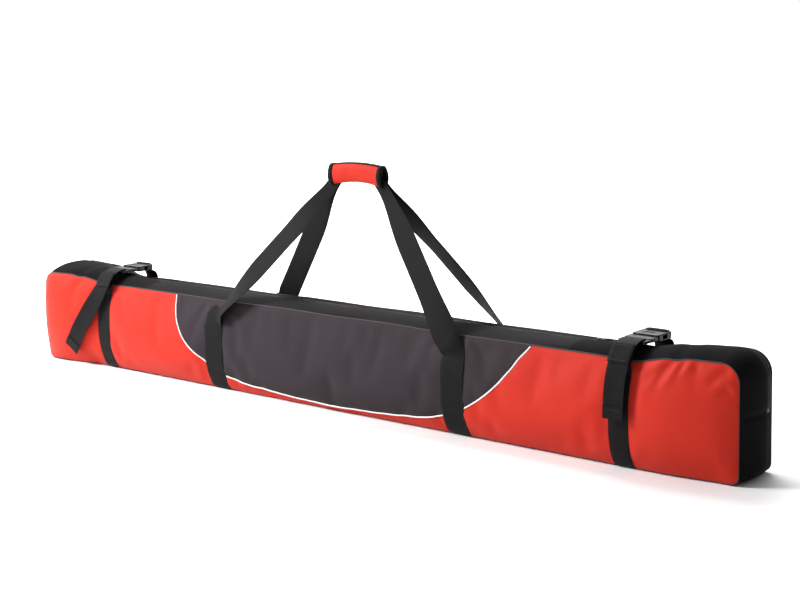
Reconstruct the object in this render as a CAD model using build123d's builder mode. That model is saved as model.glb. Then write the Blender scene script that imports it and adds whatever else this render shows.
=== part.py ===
"""A long soft ski bag with carry handles and two compression straps.

Millimetres. +X runs along the bag, -Y is its front face and +Z is up. The origin is on the floor under the
middle of the bag, which rests on the four webbing bands that pass beneath it.
"""

from math import cos, radians, sin, sqrt
import os

from build123d import *

# Bag body
LENGTH = 1676.0
DEPTH = 106.0
TOP = 180.0
END_TOP = 200.0
BULGE = 26.0
SHOULDER_BULGE = 16.0
END_BULGE = 3.0
WAIST_X = 665.0
SHOULDER_X = 745.0
TOP_CORNER_R = 30.0
BOTTOM_CORNER_R = 14.0
SKIN = 1.0
FOAM = 4.0
GUSSET = 1.2
PIPING = 3.2
PIPING_PROUD = 0.1
END_SEAM_Z = 107.0
LENS_LOW = 14.0
LENS_SHOULDER = (325.0, 56.0)
LENS_TIP = (440.0, 190.0)

# Zip
LID_X = 510.0
LID_GAP = 0.5
ZIP_SLOT = 9.0
ZIP_Y = 26.0
TAPE_HALF = 17.0
TAPE = 0.6
CHAIN_OUT = 3.4
CHAIN_IN = 0.6
CHAIN_H = 2.8
SLIDER_MAIN_X = 556.0
SLIDER_END_X = 585.0
SLIDER_L = 21.0
SLIDER_HALF = 6.0
PULL_L = 26.0

# Webbing
WEB = 1.6
HANDLE_W = 50.0
HANDLE_X = 302.0
HINGE_Z = 152.0
HINGE_BELOW = 1.8
HINGE_ABOVE = 0.3
STRAP_W = 38.0
STRAP_X = 640.0
STRAP_SPLIT_Z = 128.0
STRAP_BOW = 28.0

# Grip
GRIP_X = 26.0
GRIP_L = 130.0
GRIP_Z = 430.0
GRIP_WEB_H = 38.0
GRIP_BAND_Y = 1.4
LEAF_IN = 3.0
LEAF = 4.5
LEAF_TOP = 458.0
FOLD_Z = 404.0
BINDING = 1.0
BINDING_W = 7.0

# Buckles
BUCKLE_W = 51.0
BUCKLE_Z = 203.0
BUCKLE_H = 11.0
MOUTH_Y = 2.0
FEMALE_L = 41.0
MALE_FRONT_Y = -38.0
SLOT_Y = -24.2
PRONG_PIVOT = (14.0, -1.5)
PRONG_R = 2.6
GAP = 0.35

# Worked out from the above
BOTTOM = WEB
HALF = LENGTH / 2
SIDE_Y = DEPTH / 2
WALL_Y = SIDE_Y + SKIN
MID_Z = (BOTTOM + TOP) / 2
STATIONS = [
    (-HALF, END_TOP, END_BULGE),
    (-SHOULDER_X, END_TOP, SHOULDER_BULGE),
    (-WAIST_X, TOP, BULGE),
    (WAIST_X, TOP, BULGE),
    (SHOULDER_X, END_TOP, SHOULDER_BULGE),
    (HALF, END_TOP, END_BULGE),
]
ZIP_Z = TOP - GUSSET / 2
SLOPE = (0, -cos(radians(51)), -sin(radians(51)))
FRONT = -1
REAR = 1


def wall_y(z, outside=0.0, bulge=BULGE):
    """Distance from the middle plane of the wall's outer face, moved outwards, at height z between the straps."""
    half_chord = (TOP - BOTTOM) / 2
    radius = (half_chord**2 + bulge**2) / (2 * bulge)
    return WALL_Y + bulge - radius + sqrt(radius**2 - (z - MID_Z) ** 2) + outside


def keep(part, label):
    """Labels a finished piece and writes its STEP file."""
    part.label = label
    export_step(part, f"parts/{label}.step")


def outline(inset=0.0):
    """The bag seen from the front, as a face, moved inwards by inset."""
    with BuildSketch(Plane.XZ) as face:
        with BuildLine():
            Polyline(
                (-HALF, BOTTOM), (HALF, BOTTOM), (HALF, END_TOP), (SHOULDER_X, END_TOP),
                (WAIST_X, TOP), (-WAIST_X, TOP), (-SHOULDER_X, END_TOP), (-HALF, END_TOP),
                close=True,
            )
        make_face()
        ends = face.vertices().filter_by(lambda v: abs(abs(v.X) - HALF) < 1)
        fillet(ends.filter_by(lambda v: v.Z > MID_Z), TOP_CORNER_R)
        ends = face.vertices().filter_by(lambda v: abs(abs(v.X) - HALF) < 1 and v.Z < BOTTOM + 1)
        fillet(ends, BOTTOM_CORNER_R)
        if inset:
            offset(amount=-inset)
    return face.sketch


def ring(inset, thickness, y_low, y_high):
    """A band that follows the outline, between two depths below it, from y_low to y_high."""
    with BuildPart() as band:
        with BuildSketch(Plane.XZ.offset(-y_high)):
            add(outline(inset))
        extrude(amount=y_high - y_low)
        with BuildSketch(Plane.XZ.offset(-y_high)):
            add(outline(inset + thickness))
        extrude(amount=y_high - y_low, mode=Mode.SUBTRACT)
    return band.part


def between(part, x_low, x_high, z_low=-50.0, z_high=600.0):
    """What of part lies in that range of x and z."""
    with BuildPart() as cut:
        add(part)
        with Locations(((x_low + x_high) / 2, 0, (z_low + z_high) / 2)):
            Box(x_high - x_low, 400, z_high - z_low, mode=Mode.INTERSECT)
    return cut.part


def wall_profile(side, inside, thickness, top, bulge):
    """Section of a bulged wall, its outer face inside the bag's outer face by the distance given."""
    outer = side * (WALL_Y - inside)
    inner = side * (WALL_Y - inside - thickness)
    middle = (BOTTOM + top) / 2
    with BuildSketch() as section:
        with BuildLine():
            ThreePointArc((outer, BOTTOM), (outer + side * bulge, middle), (outer, top))
            Line((outer, top), (inner, top))
            ThreePointArc((inner, top), (inner + side * bulge, middle), (inner, BOTTOM))
            Line((inner, BOTTOM), (outer, BOTTOM))
        make_face()
    return section.sketch


def wall(side, inside, thickness, inset=0.0):
    """A bulged sheet: even between the straps, flatter and taller towards each end."""
    with BuildPart() as sheet:
        with BuildSketch(Plane.YZ.offset(-WAIST_X)):
            add(wall_profile(side, inside, thickness, TOP, BULGE))
        extrude(amount=2 * WAIST_X)
        for end in (STATIONS[:3], STATIONS[3:]):
            for x, top, bulge in end:
                with BuildSketch(Plane.YZ.offset(x)):
                    add(wall_profile(side, inside, thickness, top, bulge))
            loft(ruled=True)
        with BuildSketch(Plane.XZ.offset(-DEPTH)):
            add(outline(inset))
        extrude(amount=2 * DEPTH, both=True, mode=Mode.INTERSECT)
    return sheet.part


def lens(grow=0.0):
    """The dark middle panel's outline, open at the top of the wall, as a solid through the wall."""
    with BuildPart() as block:
        with BuildSketch(Plane.XZ):
            with BuildLine():
                keel = ThreePointArc((-LENS_SHOULDER[0], LENS_SHOULDER[1]), (0, LENS_LOW), LENS_SHOULDER)
                right = TangentArc(LENS_SHOULDER, LENS_TIP, tangent=keel % 1)
                left_tip = (-LENS_TIP[0], LENS_TIP[1])
                left = TangentArc(keel @ 0, left_tip, tangent=-(keel % 0))
                Line(right @ 1, left @ 1)
            make_face()
            if grow:
                offset(amount=grow)
        extrude(amount=2 * DEPTH, both=True)
    return block.part


def walls():
    """Front and rear skins, each a red surround, a dark middle and white piping between, over a foam sheet."""
    for side, name in ((FRONT, "front"), (REAR, "rear")):
        skin = wall(side, 0.0, SKIN)
        with BuildPart() as surround:
            add(skin)
            add(lens(PIPING / 2), mode=Mode.SUBTRACT)
        keep(surround.part, f"{name}_panel_red")
        with BuildPart() as middle:
            add(skin)
            add(lens(-PIPING / 2), mode=Mode.INTERSECT)
        keep(middle.part, f"{name}_panel_middle")
        with BuildPart() as cord:
            add(between(wall(side, -PIPING_PROUD, SKIN + PIPING_PROUD), -HALF, HALF, BOTTOM, TOP - 0.5))
            add(lens(PIPING / 2), mode=Mode.INTERSECT)
            add(lens(-PIPING / 2), mode=Mode.SUBTRACT)
        keep(cord.part, f"{name}_piping")
        keep(wall(side, SKIN, FOAM, 6.0), f"{name}_foam")


def gusset():
    """The strip round the edge: a plain bottom, two plain lower ends, and a zipped top and upper ends."""
    full = ring(0.0, GUSSET, -SIDE_Y, SIDE_Y)
    flat_end = HALF - BOTTOM_CORNER_R
    keep(between(full, -flat_end, flat_end, z_high=MID_Z), "bottom_panel")
    keep(between(full, flat_end, HALF + 1, z_high=END_SEAM_Z), "end_panel_right")
    keep(between(full, -HALF - 1, -flat_end, z_high=END_SEAM_Z), "end_panel_left")
    for side, name in ((FRONT, "front"), (REAR, "rear")):
        low, high = sorted((ZIP_Y + side * ZIP_SLOT, side * SIDE_Y))
        half = ring(0.0, GUSSET, low, high)
        above_seam = END_SEAM_Z + LID_GAP
        keep(between(half, LID_X + LID_GAP, HALF + 1, z_low=above_seam), f"gusset_{name}_right")
        keep(between(half, -HALF - 1, -LID_X - LID_GAP, z_low=above_seam), f"gusset_{name}_left")
        low, high = sorted((ZIP_Y + side * ZIP_SLOT, side * (SIDE_Y - LID_GAP)))
        keep(between(ring(0.0, GUSSET, low, high), -LID_X, LID_X, MID_Z), f"lid_{name}_fabric")


def zip_strips():
    """Zip tapes under the fabric and the two rows of the chain, in one stretch on each lid and one at each end."""
    tape_depth = GUSSET + 0.1
    chain_depth = GUSSET / 2 - CHAIN_H / 2
    above_seam = END_SEAM_Z + LID_GAP
    ends = {"right": (LID_X + LID_GAP, HALF + 5), "left": (-HALF - 5, -LID_X - LID_GAP)}
    for name, depth, thick, inner, outer in (
        ("tape", tape_depth, TAPE, CHAIN_OUT, TAPE_HALF),
        ("chain", chain_depth, CHAIN_H, CHAIN_IN, CHAIN_OUT),
    ):
        rows = {}
        for side, half in ((FRONT, "front"), (REAR, "rear")):
            low, high = sorted((ZIP_Y + side * inner, ZIP_Y + side * outer))
            rows[half] = ring(depth, thick, low, high)
            keep(between(rows[half], -LID_X, LID_X, MID_Z), f"zip_{name}_lid_{half}")
        for end, (x_low, x_high) in ends.items():
            with BuildPart() as both:
                for row in rows.values():
                    add(between(row, x_low, x_high, z_low=above_seam))
            keep(both.part, f"zip_{name}_{end}")
    with BuildPart() as stops:
        for x in (-HALF - 0.75, HALF + 0.75):
            with Locations((x, ZIP_Y, END_SEAM_Z - 4)):
                Box(1.5, 2 * CHAIN_OUT + 1.6, 7)
        fillet(stops.edges().filter_by(Axis.X), 1.0)
    keep(stops.part, "zip_stops")


def slider(x, way):
    """A zip slider at x, whose tail points along way: two plates on a thin post, lips at the sides and a bridge."""
    top_plate, bottom_plate = ZIP_Z + 1.9, ZIP_Z - 1.9
    plate = 1.4
    with BuildPart() as body:
        with BuildSketch(Plane.XY.offset(top_plate)):
            with Locations((x, ZIP_Y)):
                RectangleRounded(SLIDER_L, 2 * SLIDER_HALF, 3.5)
        extrude(amount=plate)
        with BuildSketch(Plane.XY.offset(bottom_plate)):
            with Locations((x, ZIP_Y)):
                RectangleRounded(SLIDER_L, 2 * SLIDER_HALF, 3.5)
        extrude(amount=-plate)
        fillet(body.edges().group_by(Axis.Z)[-1], 0.5)
        with Locations((x, ZIP_Y, ZIP_Z)):
            Box(5, 2 * CHAIN_IN - 0.5, 2 * (top_plate - ZIP_Z) + 1)
        for y in (ZIP_Y - SLIDER_HALF + 0.7, ZIP_Y + SLIDER_HALF - 0.7):
            with Locations((x, y, top_plate - 0.5)):
                Box(SLIDER_L - 8, 1.2, 1.2)
            with Locations((x, y, bottom_plate + 0.1)):
                Box(SLIDER_L - 8, 1.2, 0.8)
        with BuildSketch(Plane.XZ.offset(-ZIP_Y - 2.2)):
            with BuildLine():
                Polyline(
                    (x - 7, top_plate + plate), (x - 4.5, top_plate + plate + 3.6),
                    (x + 4.5, top_plate + plate + 3.6), (x + 7, top_plate + plate), close=True,
                )
            make_face()
            with BuildLine():
                Polyline(
                    (x - 4.4, top_plate + plate), (x - 3.4, top_plate + plate + 2.6),
                    (x + 3.4, top_plate + plate + 2.6), (x + 4.4, top_plate + plate), close=True,
                )
            make_face(mode=Mode.SUBTRACT)
        extrude(amount=4.4)
    return body.part


def pull(x, way):
    """A pull tab that lies along way from its pin under the slider's bridge."""
    pin_z = ZIP_Z + 1.9 + 1.4 + 1.3
    half = 5.0
    with BuildPart() as tab:
        with BuildSketch(Plane.XY.offset(pin_z - 0.8)):
            with Locations((x + way * (PULL_L / 2 - 1), ZIP_Y)):
                RectangleRounded(PULL_L, 2 * half, 2.4)
            with Locations((x + way * 3.2, ZIP_Y)):
                Rectangle(12.4, 6.0, mode=Mode.SUBTRACT)
            with Locations((x + way * (PULL_L - 7), ZIP_Y)):
                SlotOverall(7, 3.0, rotation=90, mode=Mode.SUBTRACT)
        extrude(amount=1.6)
        chamfer(tab.edges().group_by(Axis.Z)[-1], 0.3)
        with Locations(Location((x, ZIP_Y, pin_z), (90, 0, 0))):
            Cylinder(0.8, 2 * half)
        with Locations((x - way * 2.8, ZIP_Y, pin_z)):
            Box(4.0, 12, 4.0, mode=Mode.SUBTRACT)
    return tab.part


def band_path(top_z, bow=0.0):
    """Half of a webbing band's line in a cross-section: up the front, from under the bag to top_z."""
    out = WEB / 2 + 0.2
    low_z = 8.0
    mid_z = (low_z + top_z) / 2
    bulge = BULGE + bow
    low = (-wall_y(low_z, out, bulge), low_z)
    return low, (-wall_y(mid_z, out, bulge), mid_z), (-wall_y(top_z, out, bulge), top_z)


def webbing(x, width, draw):
    """Webbing whose line in the cross-section plane is drawn by draw, as wide as width about x."""
    with BuildPart() as band:
        with BuildSketch(Plane.YZ.offset(x - width / 2)):
            with BuildLine() as line:
                draw()
            trace(line.edges(), line_width=WEB)
        extrude(amount=width)
    return band.part


def ribbon(stations):
    """Webbing through rectangles, each a centre, a width direction, a running direction and a width."""
    with BuildPart() as strip:
        for centre, width_dir, run_dir, width in stations:
            with BuildSketch(Plane(centre, x_dir=width_dir, z_dir=run_dir)):
                Rectangle(width, WEB)
        loft(ruled=True)
    return strip.part


def under_bag(low, rear_low):
    """Webbing line across under the bag, from the lowest point of a front run to that of the rear run."""
    corner = (-WALL_Y - 1.0, WEB / 2)
    Spline(low, corner, tangents=[(0.3, -0.95), (1, 0)])
    Line(corner, (-corner[0], corner[1]))
    Spline((-corner[0], corner[1]), rear_low, tangents=[(1, 0), (0.3, 0.95)])


def handle_bands():
    """The two bands that carry the bag, sewn up both faces as far as the handles' creases."""
    low, middle, top = band_path(HINGE_Z - HINGE_BELOW)

    def draw():
        ThreePointArc(top, middle, low)
        under_bag(low, (-low[0], low[1]))
        ThreePointArc((-low[0], low[1]), (-middle[0], middle[1]), (-top[0], top[1]))

    keep(webbing(-HANDLE_X, HANDLE_W, draw), "handle_band_left")
    keep(webbing(HANDLE_X, HANDLE_W, draw), "handle_band_right")


def handles():
    """Each handle is one webbing loop: a leg up from each crease, turning edge up into the run through the grip."""
    for side, name in ((FRONT, "front"), (REAR, "rear")):
        crease = (side * wall_y(HINGE_Z, 0.2 + WEB / 2), HINGE_Z + HINGE_ABOVE)
        band_y = side * GRIP_BAND_Y
        stations = [
            ((-HANDLE_X, *crease), (1, 0, 0), (0, 0, 1), HANDLE_W),
            ((GRIP_X - GRIP_L / 2, band_y, GRIP_Z), (0, 0, -1), (1, 0, 0), GRIP_WEB_H),
            ((GRIP_X + GRIP_L / 2, band_y, GRIP_Z), (0, 0, -1), (1, 0, 0), GRIP_WEB_H),
            ((HANDLE_X, *crease), (-1, 0, 0), (0, 0, -1), HANDLE_W),
        ]
        keep(ribbon(stations), f"handle_{name}_webbing")


def grip():
    """A padded wrap in two leaves, one on each handle, that meet in hook and loop strips along the top."""
    leaf_low = FOLD_Z + LEAF + 2.0

    def slab(y_low, y_high, z_low, z_high, length):
        with Locations((GRIP_X, (y_low + y_high) / 2, (z_low + z_high) / 2)):
            Box(length, y_high - y_low, z_high - z_low)

    pad_l = GRIP_L - 2 * BINDING_W
    outer = LEAF_IN + LEAF
    for name, length, ends_only in (("pad", pad_l, False), ("binding", GRIP_L, True)):
        grow = BINDING if ends_only else 0.0
        with BuildPart() as front:
            slab(-outer - grow, -LEAF_IN, FOLD_Z - grow, LEAF_TOP, length)
            slab(-outer - grow, outer, FOLD_Z - grow, FOLD_Z + LEAF, length)
            long_edges = front.edges().filter_by(Axis.X).group_by(Axis.Z)[0]
            fillet(long_edges.sort_by(Axis.Y)[0], LEAF)
            if ends_only:
                with Locations((GRIP_X, 0, GRIP_Z)):
                    Box(pad_l, 60, 90, mode=Mode.SUBTRACT)
        keep(front.part, f"grip_front_{name}")
        with BuildPart() as rear:
            slab(LEAF_IN, outer + grow, leaf_low, LEAF_TOP, length)
            if ends_only:
                with Locations((GRIP_X, 0, GRIP_Z)):
                    Box(pad_l, 60, 90, mode=Mode.SUBTRACT)
        keep(rear.part, f"grip_rear_{name}")
    strip_low = GRIP_Z + GRIP_WEB_H / 2 + 1.0
    with BuildPart() as hooks:
        slab(-LEAF_IN, -0.2, strip_low, LEAF_TOP - 0.5, pad_l)
    keep(hooks.part, "grip_hook_strip")
    with BuildPart() as loops:
        slab(0.2, LEAF_IN, strip_low, LEAF_TOP - 0.5, pad_l)
    keep(loops.part, "grip_loop_strip")


def female_buckle(x):
    """A socket open towards the front, with side windows, ramped sides to its mouth and a webbing bar."""
    half = BUCKLE_W / 2
    far = MOUTH_Y + FEMALE_L
    with BuildPart() as body:
        with BuildSketch(Plane.XY.offset(BUCKLE_Z - BUCKLE_H / 2)):
            with Locations((x, (MOUTH_Y + far) / 2)):
                RectangleRounded(BUCKLE_W, FEMALE_L, 4)
        extrude(amount=BUCKLE_H)
        fillet(body.edges().group_by(Axis.Z)[-1], 1.8)
        fillet(body.edges().group_by(Axis.Z)[0], 1.0)
        with BuildSketch(Plane.XY.offset(BUCKLE_Z - 3.5)):
            with BuildLine():
                Polyline(
                    (x - 20.9, MOUTH_Y - 1), (x + 20.9, MOUTH_Y - 1), (x + 23.4, 14.5), (x + 23.4, 28),
                    (x - 23.4, 28), (x - 23.4, 14.5), close=True,
                )
            make_face()
        extrude(amount=7, mode=Mode.SUBTRACT)
        with Locations((x, 21.25, BUCKLE_Z)):
            Box(BUCKLE_W + 2, 13.5, 7, mode=Mode.SUBTRACT)
        with Locations((x, 34.0, BUCKLE_Z)):
            Box(STRAP_W + 2, 4.4, 30, mode=Mode.SUBTRACT)
        with BuildSketch(Plane.XY.offset(BUCKLE_Z + BUCKLE_H / 2)):
            with Locations((x, 14)):
                RectangleRounded(20, 12, 3)
        extrude(amount=-0.6, mode=Mode.SUBTRACT)
    return body.part


def male_buckle(x):
    """The plug's frame: three bars for the webbing, a shoulder with two round seats and a guide blade."""
    half = BUCKLE_W / 2
    shoulder_y = -19.0
    face_y = MOUTH_Y - GAP
    with BuildPart() as body:
        with BuildSketch(Plane.XY.offset(BUCKLE_Z - 2.5)):
            with Locations((x, (MALE_FRONT_Y + shoulder_y) / 2)):
                RectangleRounded(BUCKLE_W, shoulder_y - MALE_FRONT_Y, 2.5)
            for y in (SLOT_Y - 8.6, SLOT_Y):
                with Locations((x, y)):
                    Rectangle(STRAP_W + 2, 4.0, mode=Mode.SUBTRACT)
        extrude(amount=4.5)
        with BuildSketch(Plane.XY.offset(BUCKLE_Z - 3.1)):
            with Locations((x, (shoulder_y + face_y) / 2)):
                RectangleRounded(BUCKLE_W, face_y - shoulder_y, 2)
        extrude(amount=6.2)
        fillet(body.edges().group_by(Axis.Z)[-1], 0.8)
        with Locations((x, 11, BUCKLE_Z)):
            Box(6, 22, 5)
        for side in (-1, 1):
            with Locations((x + side * PRONG_PIVOT[0], PRONG_PIVOT[1], BUCKLE_Z)):
                Cylinder(PRONG_R + GAP, 20, mode=Mode.SUBTRACT)
            with BuildSketch(Plane.XY.offset(BUCKLE_Z - 10)):
                with BuildLine():
                    pivot_x = x + side * PRONG_PIVOT[0]
                    Polyline(
                        (pivot_x - side * 5.2, face_y + 1), (pivot_x - side * 2.0, PRONG_PIVOT[1]),
                        (pivot_x + side * 2.2, PRONG_PIVOT[1]), (pivot_x + side * 3.2, face_y + 1), close=True,
                    )
                make_face()
            extrude(amount=20, mode=Mode.SUBTRACT)
    return body.part


def prong(x, side):
    """A springy arm on a round root, with the barb that shows in the socket's side window."""
    pivot_x = x + side * PRONG_PIVOT[0]
    barb_x = x + side * 23.0
    with BuildPart() as arm:
        with BuildSketch(Plane.XY.offset(BUCKLE_Z - 3)):
            with Locations((pivot_x, PRONG_PIVOT[1])):
                Circle(PRONG_R)
            with BuildLine():
                Polyline(
                    (pivot_x - side * 1.4, PRONG_PIVOT[1]), (pivot_x + side * 1.8, PRONG_PIVOT[1]),
                    (x + side * 17.6, 14.0), (barb_x - side * 0.6, 15.2), (barb_x, 17.0),
                    (barb_x - side * 0.8, 22.0), (x + side * 17.5, 26.8), (x + side * 14.6, 26.8), close=True,
                )
            make_face()
        extrude(amount=6)
        chamfer(arm.edges().group_by(Axis.Z)[-1], 0.35)
    return arm.part


def keeper(x):
    """An elastic loop round both layers of the strap on the slope at the front of the top."""
    plane = Plane((x, -64.2, 186.4), x_dir=(1, 0, 0), z_dir=SLOPE)
    with BuildPart() as loop:
        with BuildSketch(plane.offset(-12)):
            RectangleRounded(STRAP_W + 3.4, 9.4, 1.4)
            RectangleRounded(STRAP_W + 1.0, 7.4, 0.8, mode=Mode.SUBTRACT)
        extrude(amount=24)
    return loop.part


def strap_root(x):
    """The sewn part of a compression strap: up the front to the split, under the bag, up the rear to the socket."""
    low, middle, top = band_path(STRAP_SPLIT_Z, STRAP_BOW - BULGE)
    rear_low, rear_middle, rear_top = band_path(168.0)
    bar_y = MOUTH_Y + FEMALE_L - 3.4

    def draw():
        ThreePointArc(top, middle, low)
        under_bag(low, (-rear_low[0], rear_low[1]))
        ThreePointArc(
            (-rear_low[0], rear_low[1]), (-rear_middle[0], rear_middle[1]), (-rear_top[0], rear_top[1])
        )
        Spline(
            (-rear_top[0], rear_top[1]), (56, 192), (bar_y + 4, BUCKLE_Z - BUCKLE_H / 2 - 1.4),
            tangents=[(-0.42, 0.9), (-1, 0)],
        )
        Line((bar_y + 4, BUCKLE_Z - BUCKLE_H / 2 - 1.4), (34.0, BUCKLE_Z - BUCKLE_H / 2 - 1.4))
        Line((34.0, BUCKLE_Z - BUCKLE_H / 2 - 1.4), (34.0, BUCKLE_Z + BUCKLE_H / 2 + 1.4))
        Line((34.0, BUCKLE_Z + BUCKLE_H / 2 + 1.4), (46, BUCKLE_Z + BUCKLE_H / 2 + 1.4))

    return webbing(x, STRAP_W, draw)


def strap_front(x, tail):
    """The adjusting webbing: from the split, over the slope, round the plug's middle bar and back as the tail."""
    _, _, split = band_path(STRAP_SPLIT_Z + 0.5, STRAP_BOW - BULGE)
    under, over = BUCKLE_Z - 4.0, BUCKLE_Z + 3.4

    def draw():
        Spline(split, (-71.5, 173.4), (-55.0, 194.0), tangents=[(0.28, 0.96), (0.63, 0.78)])
        Spline((-55.0, 194.0), (-44.0, under), tangents=[(0.63, 0.78), (1, 0)])
        Line((-44.0, under), (SLOT_Y, under))
        Line((SLOT_Y, under), (SLOT_Y, over))
        Line((SLOT_Y, over), (-42.0, over))
        Spline((-42.0, over), (-57.2, 198.2), tangents=[(-1, 0), (-0.63, -0.78)])
        Line((-57.2, 198.2), (-73.4, 178.2))

    with BuildPart() as strap:
        add(webbing(x, STRAP_W, draw))
        add(ribbon(tail))
    return strap.part


def straps():
    """Both compression straps with their side-release buckles; the left tail hangs free, the right lies close."""
    tails = {
        "left": [
            ((-STRAP_X, -73.2, 178.4), (1, 0, 0), SLOPE, STRAP_W),
            ((-STRAP_X - 20, -84, 142), (0.93, 0, -0.36), (-0.35, -0.25, -0.9), STRAP_W),
            ((-STRAP_X - 58, -91, 92), (0.79, 0, -0.61), (-0.61, -0.1, -0.79), STRAP_W),
            ((-STRAP_X - 94, -92, 46), (0.79, 0, -0.61), (-0.61, 0, -0.79), STRAP_W),
        ],
        "right": [
            ((STRAP_X, -73.2, 178.4), (1, 0, 0), SLOPE, STRAP_W),
            ((STRAP_X - 2, -82.0, 146), (1, 0, 0), (0, -0.2, -0.98), STRAP_W),
            ((STRAP_X - 4, -85.0, 116), (1, 0, 0), (0, -0.05, -1), STRAP_W),
            ((STRAP_X - 5, -86.5, 86), (1, 0, 0), (0, 0, -1), STRAP_W),
        ],
    }
    for name, x in (("left", -STRAP_X), ("right", STRAP_X)):
        keep(strap_root(x), f"{name}_strap_sewn")
        keep(strap_front(x, tails[name]), f"{name}_strap_adjuster")
        keep(keeper(x), f"{name}_strap_keeper")
        keep(female_buckle(x), f"{name}_buckle_socket")
        keep(male_buckle(x), f"{name}_buckle_plug")
        keep(prong(x, -1), f"{name}_buckle_prong_a")
        keep(prong(x, 1), f"{name}_buckle_prong_b")


def main():
    os.makedirs("parts", exist_ok=True)
    walls()
    gusset()
    zip_strips()
    keep(slider(SLIDER_MAIN_X, -1), "zip_slider_main")
    keep(pull(SLIDER_MAIN_X, -1), "zip_pull_main")
    keep(slider(SLIDER_END_X, 1), "zip_slider_end")
    keep(pull(SLIDER_END_X, 1), "zip_pull_end")
    handle_bands()
    handles()
    grip()
    straps()


main()
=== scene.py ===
"""Looks of a long padded ski bag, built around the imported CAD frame. Metres, +X along the bag, -Y its front."""

from math import cos, pi, radians, sin, sqrt, tau

import bmesh
import bpy
import numpy as np
from mathutils import Matrix, Vector


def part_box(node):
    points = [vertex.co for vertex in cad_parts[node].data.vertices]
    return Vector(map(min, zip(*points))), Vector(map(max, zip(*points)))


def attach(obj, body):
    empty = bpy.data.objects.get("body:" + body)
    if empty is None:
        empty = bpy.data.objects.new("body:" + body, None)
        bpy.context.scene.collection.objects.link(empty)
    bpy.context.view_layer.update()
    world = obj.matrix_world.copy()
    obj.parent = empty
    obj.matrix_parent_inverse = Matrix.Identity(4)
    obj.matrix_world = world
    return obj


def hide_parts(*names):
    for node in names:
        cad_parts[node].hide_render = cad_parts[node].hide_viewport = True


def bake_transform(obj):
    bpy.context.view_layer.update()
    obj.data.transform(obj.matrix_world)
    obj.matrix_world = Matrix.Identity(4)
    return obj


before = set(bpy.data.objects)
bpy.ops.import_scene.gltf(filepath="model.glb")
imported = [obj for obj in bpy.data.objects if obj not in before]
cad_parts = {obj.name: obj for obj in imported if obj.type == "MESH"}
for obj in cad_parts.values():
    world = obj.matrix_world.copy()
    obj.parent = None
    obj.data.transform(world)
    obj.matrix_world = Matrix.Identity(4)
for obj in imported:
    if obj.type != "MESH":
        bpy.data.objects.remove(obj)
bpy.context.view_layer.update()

MM = 0.001
X, Y, Z = range(3)
SIDES = ((-1, "front"), (1, "rear"))
HANDS = ((-1, "left"), (1, "right"))
ALONG_X = (1.0, 0.0, 0.0)


def span(node, axis):
    """Middle and half length of a CAD node's box along an axis."""
    low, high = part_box(node)
    return (low[axis] + high[axis]) / 2, (high[axis] - low[axis]) / 2


# Places read from the frame
WALL_LOW, WALL_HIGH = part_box("front_panel_red")
HALF = WALL_HIGH.x
BOTTOM = WALL_LOW.z
END_TOP = WALL_HIGH.z
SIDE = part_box("bottom_panel")[1].y + 0.5 * MM
LID_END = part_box("lid_front_fabric")[1].x
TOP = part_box("lid_front_fabric")[1].z
END_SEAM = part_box("end_panel_right")[1].z
HANDLE_X, HANDLE_HALF = span("handle_band_right", X)
CREASE_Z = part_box("handle_band_right")[1].z
STRAP_X, STRAP_HALF = span("right_strap_sewn", X)
GRIP_X, GRIP_HALF = span("grip_front_binding", X)
ZIP_Y = span("zip_slider_main", Y)[0]
ZIP_Z = span("zip_chain_lid_front", Z)[0]
PLUG_LOW, PLUG_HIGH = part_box("right_buckle_plug")
SOCKET_LOW, SOCKET_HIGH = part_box("right_buckle_socket")

# Shape of the stuffed bag
BULGE = 24 * MM
TOP_CROWN = 9 * MM
STRAP_PILLOW = 9 * MM
SHOULDER_CROWN = 4 * MM
END_CROWN = 16 * MM
WAIST_X = STRAP_X + 12 * MM
SHOULDER_X = STRAP_X + 112 * MM
TOP_CORNER = 30 * MM
BOTTOM_CORNER = 14 * MM
CLOTH = 1.0 * MM

# Zip: half the width between its two edges of cloth, and where the lids' cloth is fixed and free
ZIP_SLOT = 7.0 * MM
FIXED_FROM = LID_END + 18 * MM

# The seam of the dark middle panel, from the middle of the bag outwards: x and height in millimetres
LENS_RIGHT = (
    (0, 13.5), (95, 15.5), (166, 20), (225, 26), (268, 34), (300, 44), (327, 57), (353, 72.5), (377, 89),
    (396, 107), (411, 123), (424, 139), (435, 155), (448, 169), (462, 182), (477, 192),
)
LENS_LEFT = (
    (0, 13.5), (95, 15), (168, 20), (230, 25.5), (275, 33), (306, 43), (332, 57.5), (358, 74), (381, 91),
    (400, 112), (414, 133), (422, 155), (426, 175), (428, 192),
)

# Webbing, and the handle's legs by side and hand: turn at the foot and above in degrees, bow in
# millimetres, and the bend above the band as millimetres inwards and up
WEB = 1.6 * MM
LEG_TURN = {(-1, -1): (54, 30), (-1, 1): (22, 0), (1, -1): (2, 0), (1, 1): (50, 34)}
LEG_BOW = {(-1, -1): 2, (-1, 1): 4, (1, -1): -2, (1, 1): 2}
LEG_KNEE = {(-1, -1): (14, 12), (-1, 1): (5, 15), (1, -1): (50, 14), (1, 1): (-4, 17)}
GRIP_Z = 431 * MM
WRAP_HALF = 19 * MM

# Compression straps, in millimetres: y of the plug's slot, and the free ends from the keeper down, as x from
# the strap, y and z
SLOT_Y = -24.2
TAILS = {
    "left": ((0, -70, 181), (-4, -76.5, 170), (-17, -84, 145), (-40, -89, 113), (-67, -91.5, 78),
             (-88, -90.5, 48), (-97, -89, 36)),
    "right": ((0, -70, 181), (0, -76.5, 170), (-1, -82, 148), (-2, -85, 122), (-2, -85.5, 102),
              (-2, -85.6, 86)),
}


# ---------------------------------------------------------------- small helpers


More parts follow.
